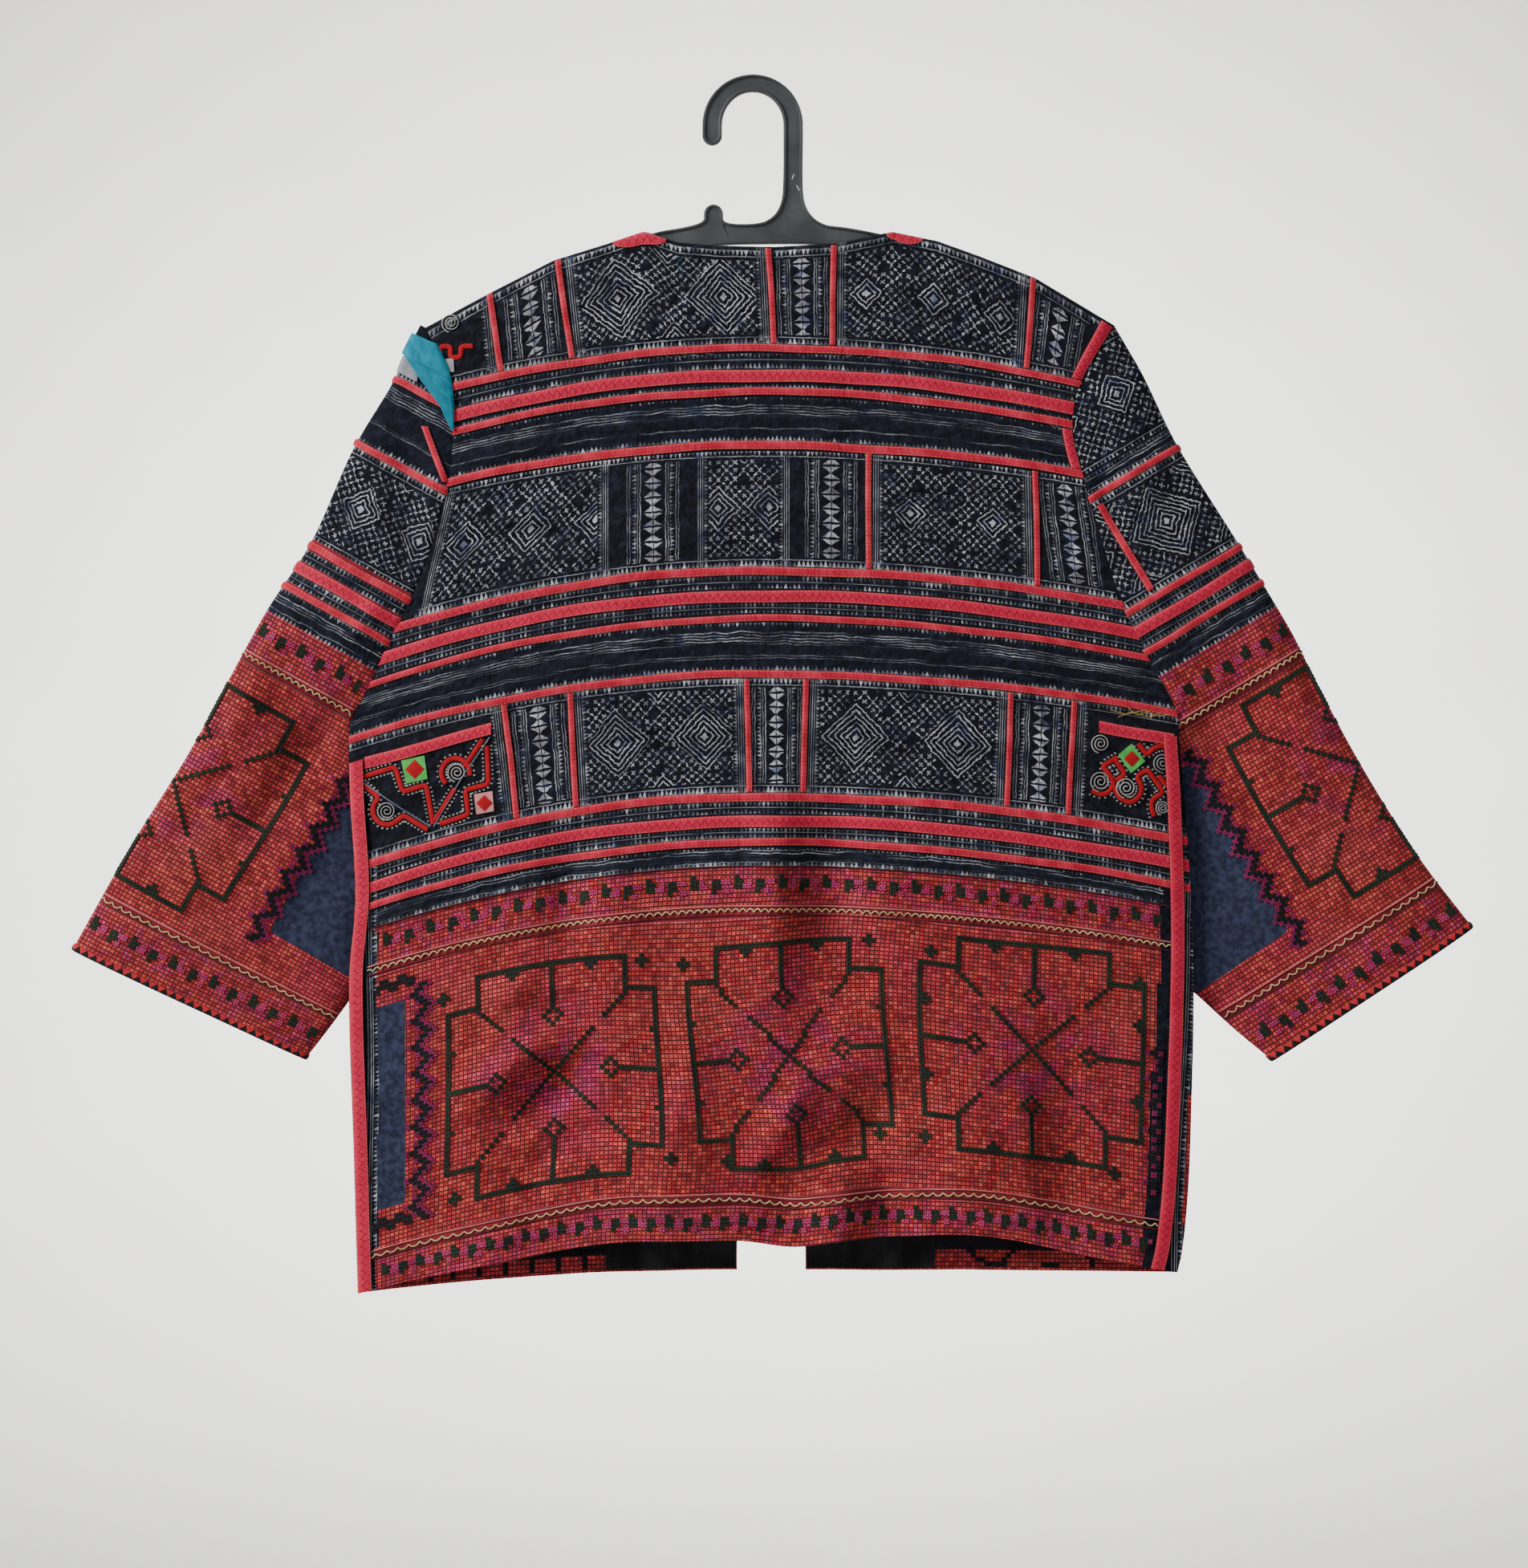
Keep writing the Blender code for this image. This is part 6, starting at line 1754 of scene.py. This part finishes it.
def by_hand(marks):
    """Millimetres on the jacket for places read off the picture of it, in its picture units."""
    u, v = np.array(marks, float).T
    return np.stack([(u - PICTURE_MIDDLE) * PICTURE_UNIT, (PICTURE_TOP - v) * PICTURE_UNIT], 1)


def on_back(x, z, out=0.0):
    return back_spot(x, level_at(x, z), out)


def evened(corners, step=1.4):
    """A line through corners at even steps, rounded a little where it turns."""
    line = np.array(corners, float)
    run = np.concatenate([[0], np.cumsum(np.hypot(*np.diff(line, axis=0).T))])
    at = np.linspace(0, run[-1], max(int(run[-1] / step), 4))
    line = np.stack([np.interp(at, run, line[:, 0]), np.interp(at, run, line[:, 1])], 1)
    for _ in range(2):
        line[1:-1] = line[:-2] * 0.25 + line[1:-1] * 0.5 + line[2:] * 0.25
    return line


def sideways(line):
    """The way across a line at each of its places."""
    run = np.gradient(line, axis=0)
    run /= np.maximum(np.linalg.norm(run, axis=1)[:, None], 1e-9)
    return np.stack([-run[:, 1], run[:, 0]], 1)


def ribbon(marks):
    """A narrow folded strip along a line of marks."""
    line = evened(by_hand(marks))
    spread = np.linspace(0.5, -0.5, 5)[None, :, None] * RIBBON_WIDE
    place = line[:, None, :] + spread * sideways(line)[:, None, :]
    return strip(on_back, place[..., 0], place[..., 1], APPLIQUE_RED, 0.15, 0.75)


def scrap(marks, finish, lift=0.2):
    """A four-sided scrap of cloth between its corners, sewn down flat."""
    a, b, c, d = by_hand(marks)
    s, t = (grid[..., None] for grid in np.meshgrid(*[np.linspace(0, 1, 7)] * 2, indexing="ij"))
    place = (a * (1 - s) + b * s) * (1 - t) + (d * (1 - s) + c * s) * t
    return strip(on_back, place[..., 0], place[..., 1], finish, lift, 0.5, True)


def around(u, v, radius, start, end):
    """Marks along part of a circle."""
    turns = np.radians(np.linspace(start, end, 20))
    return [(u + radius * math.cos(t), v - radius * math.sin(t)) for t in turns]


def coil(u, v, radius):
    """A white cord coiled flat, from its middle out."""
    t = np.linspace(0, 1, int(26 * COIL_TURNS))
    angle = np.radians(COIL_START) + t * COIL_TURNS * math.tau
    reach = radius * (0.12 + 0.88 * t)
    return np.stack([u + reach * np.cos(angle), v - reach * np.sin(angle)], 1)


def threads_on_back(lines, out):
    return [on_back(*by_hand(line).T, out) for line in lines]


APPLIQUE_RED = patch_cloth("applique_red", dye(150, 8, 22), dye(196, 28, 38))
APPLIQUE_GREEN = patch_cloth("applique_green", dye(44, 150, 62), dye(104, 206, 104))
APPLIQUE_PINK = patch_cloth("applique_pink", dye(196, 110, 116), dye(228, 158, 154))
WHITE_CORD = thread_finish("white_cord", dye(120, 120, 122), dye(196, 194, 188), 0.8)
GREY_CORD = thread_finish("grey_blue_cord", dye(74, 86, 108), dye(128, 138, 156), 0.8)
YELLOW_THREAD = thread_finish("yellow_thread", dye(176, 132, 36), dye(222, 188, 92), 0.8)
RED_RUNS = [
    [(450, 968), (493, 955), (503, 986), (532, 977), (541, 1026)],
    [(608, 929), (610, 976), (581, 984), (585, 1014), (549, 1026)],
    around(569, 962, 18, -12, 228),
    [(568, 982), (543, 1022)],
    [(580, 955), (603, 921)],
    [(452, 976), (473, 993)] + around(483, 1009, 18, 128, 318) + [(504, 1015), (534, 1033)],
    [(1359, 984), (1371, 990), (1381, 986), (1386, 977)],
    [(1391, 943), (1372, 954), (1384, 968), (1387, 982), (1394, 994), (1407, 1000), (1419, 992), (1422, 979)]
    + [(1415, 967), (1429, 958), (1449, 987), (1436, 994), (1433, 1003), (1437, 1016)],
    [(1388, 946), (1401, 964), (1389, 972)],
    [(1417, 926), (1429, 941), (1433, 934), (1443, 929), (1457, 929)],
    [(1443, 966), (1453, 978)],
    [(549, 466), (549, 432), (562, 432), (562, 446), (575, 446), (575, 432), (590, 432)],
]
# Each square's corners and finish, and the middle and reach of the red diamond on it
SQUARES = [
    ([(501, 947), (530, 941), (534, 970), (507, 976)], APPLIQUE_GREEN, (518, 958), 12),
    ([(592, 989), (615, 985), (617, 1010), (595, 1014)], APPLIQUE_PINK, (605, 1000), 10),
    ([(1409, 926), (1426, 948), (1408, 963), (1392, 940)], APPLIQUE_GREEN, (1409, 945), 10),
]
COILS = [(571, 962, 12), (483, 1010, 12), (1370, 926, 12), (1370, 973, 13), (1402, 981, 13), (1448, 950, 12)]
COILS += [(1448, 1006, 9), (563, 403, 12)]
CORD_RUNS = [[(453, 974), (492, 1001), (537, 1029)], [(612, 918), (577, 968), (542, 1029)]]
strips = [ribbon(marks) for marks in RED_RUNS]
for _, _, (u, v), r in SQUARES:
    strips.append(scrap([(u - r, v), (u, v - r), (u + r, v), (u, v + r)], APPLIQUE_RED, 0.7))
sewn_on("applique_red_strips", "tape", strips)
for number, (marks, finish, _, _) in enumerate(SQUARES, 1):
    sewn_on(f"applique_square_{number}", "grey", [scrap(marks, finish)])
sewn_on("white_scrap", "grey", [scrap([(546, 449), (566, 447), (567, 464), (548, 465)], GREY, 0.3)])
cords("applique_coils", threads_on_back([coil(*c) for c in COILS], 0.6), WHITE_CORD, 0.9)
cords("applique_grey_cords", threads_on_back([evened(run, 4.0) for run in CORD_RUNS], 0.45), GREY_CORD, 1.0)

# Rows of white dots along both sides of the red strips
DOT = {"Reach": 1.3 * MM, "Wide": 1.0 * MM, "Tall": 0.45 * MM}
DOT_PITCH, DOTS_AWAY = 2.5, 3.0
dots = []
for marks in RED_RUNS[:-1]:
    line = evened(by_hand(marks), DOT_PITCH)
    dots += [line - DOTS_AWAY * sideways(line), line + DOTS_AWAY * sideways(line)]
x, z = np.vstack(dots).T
spots, ways = laid_on(back_spot, x, level_at(x, z), 0.2)
stitch_plan("single_stitch", (0,)).make("applique_dots", spots, [], ways, WHITE_CORD, DOT)

# Loose ends of thread by the right armhole
ends = [
    [(1382, 884), (1402, 890), (1424, 884), (1440, 892), (1462, 889)],
    [(1392, 893), (1410, 886), (1431, 894), (1452, 884)],
    [(1404, 881), (1416, 892), (1444, 880)],
]
cords("loose_threads", threads_on_back([evened(run, 3.0) for run in ends], 1.0), YELLOW_THREAD, 0.45)


# Hanger: one moulding of dark grey plastic with a hook, a flat stem, a peg and two arms inside the shoulders.
# A raised rim runs round its edge, and the web between is sunk.
HOOK_INNER, HOOK_SIDE, HOOK_BAND, SHOULDER_TO_ARM, ARM_TALL = 21.7, 20.2, 11.7, 2.6, 12.5
ARM_TOP_MOST, RIM_WIDE, WEB_SUNK = -95.5, 1.7, 1.1


def arc(cx, cz, rx, rz, start, end, count):
    """Corners along part of an oval."""
    turns = [math.radians(start + (end - start) * k / count) for k in range(count + 1)]
    return [(cx + rx * math.cos(t), cz + rz * math.sin(t)) for t in turns]


def arm_top(x):
    """Height of an arm's upper edge, just under the cloth of the shoulder."""
    return float(top_z(x)) - SHOULDER_TO_ARM


def arm_foot(x, shift):
    """A corner of an arm's lower edge."""
    return x + shift, min(float(top_z(x)), ARM_TOP_MOST) - (SHOULDER_TO_ARM + ARM_TALL)


def hanger_outline():
    """The corners of the moulding, from the hook's right side round by the left arm and the right arm."""
    centre, outer = -HOOK_INNER, HOOK_INNER + HOOK_BAND
    stem_out = outer - 0.5
    tip_x, tip_r = -(HOOK_SIDE + outer) / 2, (outer - HOOK_SIDE) / 2
    points = arc(0, centre, outer, outer, 0, 180, 28)
    points += arc(tip_x, centre - 7.0, tip_r, tip_r, 180, 360, 12)
    points += arc(0, centre, HOOK_SIDE, HOOK_INNER, 180, 0, 28)
    points += [(HOOK_SIDE, -62.0), (HOOK_SIDE - 1.5, -74.0), (HOOK_SIDE - 6.5, -82.5), (4.2, -87.3)]
    points += [(-19.4, -87.0), (-19.4, -80.6)]
    points += arc(-25.9, -80.6, 6.5, 6.4, 0, 180, 10)[1:]
    points += [(-32.4, -86.0), (-46.0, -89.6), (-64.0, -92.3), (-73.0, -96.2)]
    points += [(x, arm_top(x)) for x in (-98.0, -131.4, -160.0)]
    end = arm_top(-188.0)
    points += [(-188.0, end - 0.4), (-191.5, end - 6.0), (-187.0, end - 10.5)]
    points += [arm_foot(x, 3.0) for x in (-160.0, -131.4, -98.0, -64.0)]
    points += [(-30.0, -101.5), (10.0, -100.4), (52.0, -100.8)]
    points += [arm_foot(x, -3.0) for x in (85.0, 122.0, 149.5, 186.6)]
    end = arm_top(209.0)
    points += [(208.0, end - 10.5), (212.5, end - 6.0), (209.0, end - 0.4)]
    points += [(x, arm_top(x)) for x in (186.6, 149.5, 122.0)]
    points += [(93.0, -96.4), (84.0, -93.6), (70.0, -90.8), (58.0, -88.9), (47.7, -88.0)]
    return points + [(stem_out + 6.5, -83.0), (stem_out + 1.5, -74.5), (stem_out, -62.0)]


def rounded(points):
    """Corners cut twice over, so that a closed outline runs smooth."""
    points = np.array(points)
    for _ in range(2):
        after = np.roll(points, -1, axis=0)
        points = np.stack([points * 0.75 + after * 0.25, points * 0.25 + after * 0.75], 1).reshape(-1, 2)
    return points


outline = rounded(hanger_outline())
run = np.roll(outline, -1, axis=0) - np.roll(outline, 1, axis=0)
run /= np.linalg.norm(run, axis=1)[:, None]
inward = np.stack([-run[:, 1], run[:, 0]], 1)
half_depth = np.where(outline[:, 1] > -60, 3.0, 3.5)
# Each ring of the moulding: how far in from the outline, and its share of the half depth or how far it is sunk
RINGS = [(0.35, 0.72, 0), (0.1, 0.45, 0), (0.0, 0.0, 0)]
FACE_RINGS = [(0.9, 0.97, 0), (RIM_WIDE, 1.0, 0), (RIM_WIDE + 0.35, 1.0, 0.45), (RIM_WIDE + 0.7, 1.0, WEB_SUNK)]
moulding = bmesh.new()
loops = []
for sign, rings in ((-1, FACE_RINGS[::-1] + RINGS), (1, RINGS[:2][::-1] + FACE_RINGS)):
    for inset, share, sunk in rings:
        x, z = (outline + inward * inset).T * MM
        y = sign * (half_depth * share - sunk) * MM
        loops.append([moulding.verts.new(point) for point in zip(x, y, z)])
for low, high in zip(loops, loops[1:]):
    for k in range(len(outline)):
        after = (k + 1) % len(outline)
        moulding.faces.new((low[k], low[after], high[after], high[k]))
webs = [moulding.faces.new(loops[0][::-1]), moulding.faces.new(loops[-1])]
bmesh.ops.triangulate(moulding, faces=webs, ngon_method="EAR_CLIP")
sharpened(moulding, 40)
hanger_mesh = bpy.data.meshes.new("hanger_moulding")
moulding.to_mesh(hanger_mesh)
moulding.free()
hanger_mesh.polygons.foreach_set("use_smooth", np.ones(len(hanger_mesh.polygons), bool))
plastic = Finish("hanger_plastic", dye(58, 61, 64), 0.42, Specular_IOR_Level=0.5)
place = plastic.place()
grain = plastic.noise(place, 220.0, 3.0)
scuff = plastic.noise(place, 34.0, 4.0)
across, _, height = plastic.parts(place)
colour = plastic.mix(dye(52, 55, 58), dye(72, 75, 78), scuff.between(0.35, 0.75))
# Two short pale scratches on the stem: where each one's middle is, how it leans and half its height, in metres
scratches = []
for middle_x, middle_z, lean, half in ((0.0265, 0.0562, 0.4, 0.0016), (0.0298, 0.0636, -0.5, 0.0018)):
    off = (across - middle_x - (height + middle_z) * lean) * 1000.0
    scratches.append(off.line(0.25) * (abs(height + middle_z) < half))
colour = plastic.mix(colour, dye(225, 225, 222), scratches[0].most(scratches[1]))
hanger_mesh.materials.append(plastic.show(colour, 0.36 + 0.2 * scuff, grain, 0.00015))
declared(placed("hanger_moulding", hanger_mesh), "plastic", "hanger")
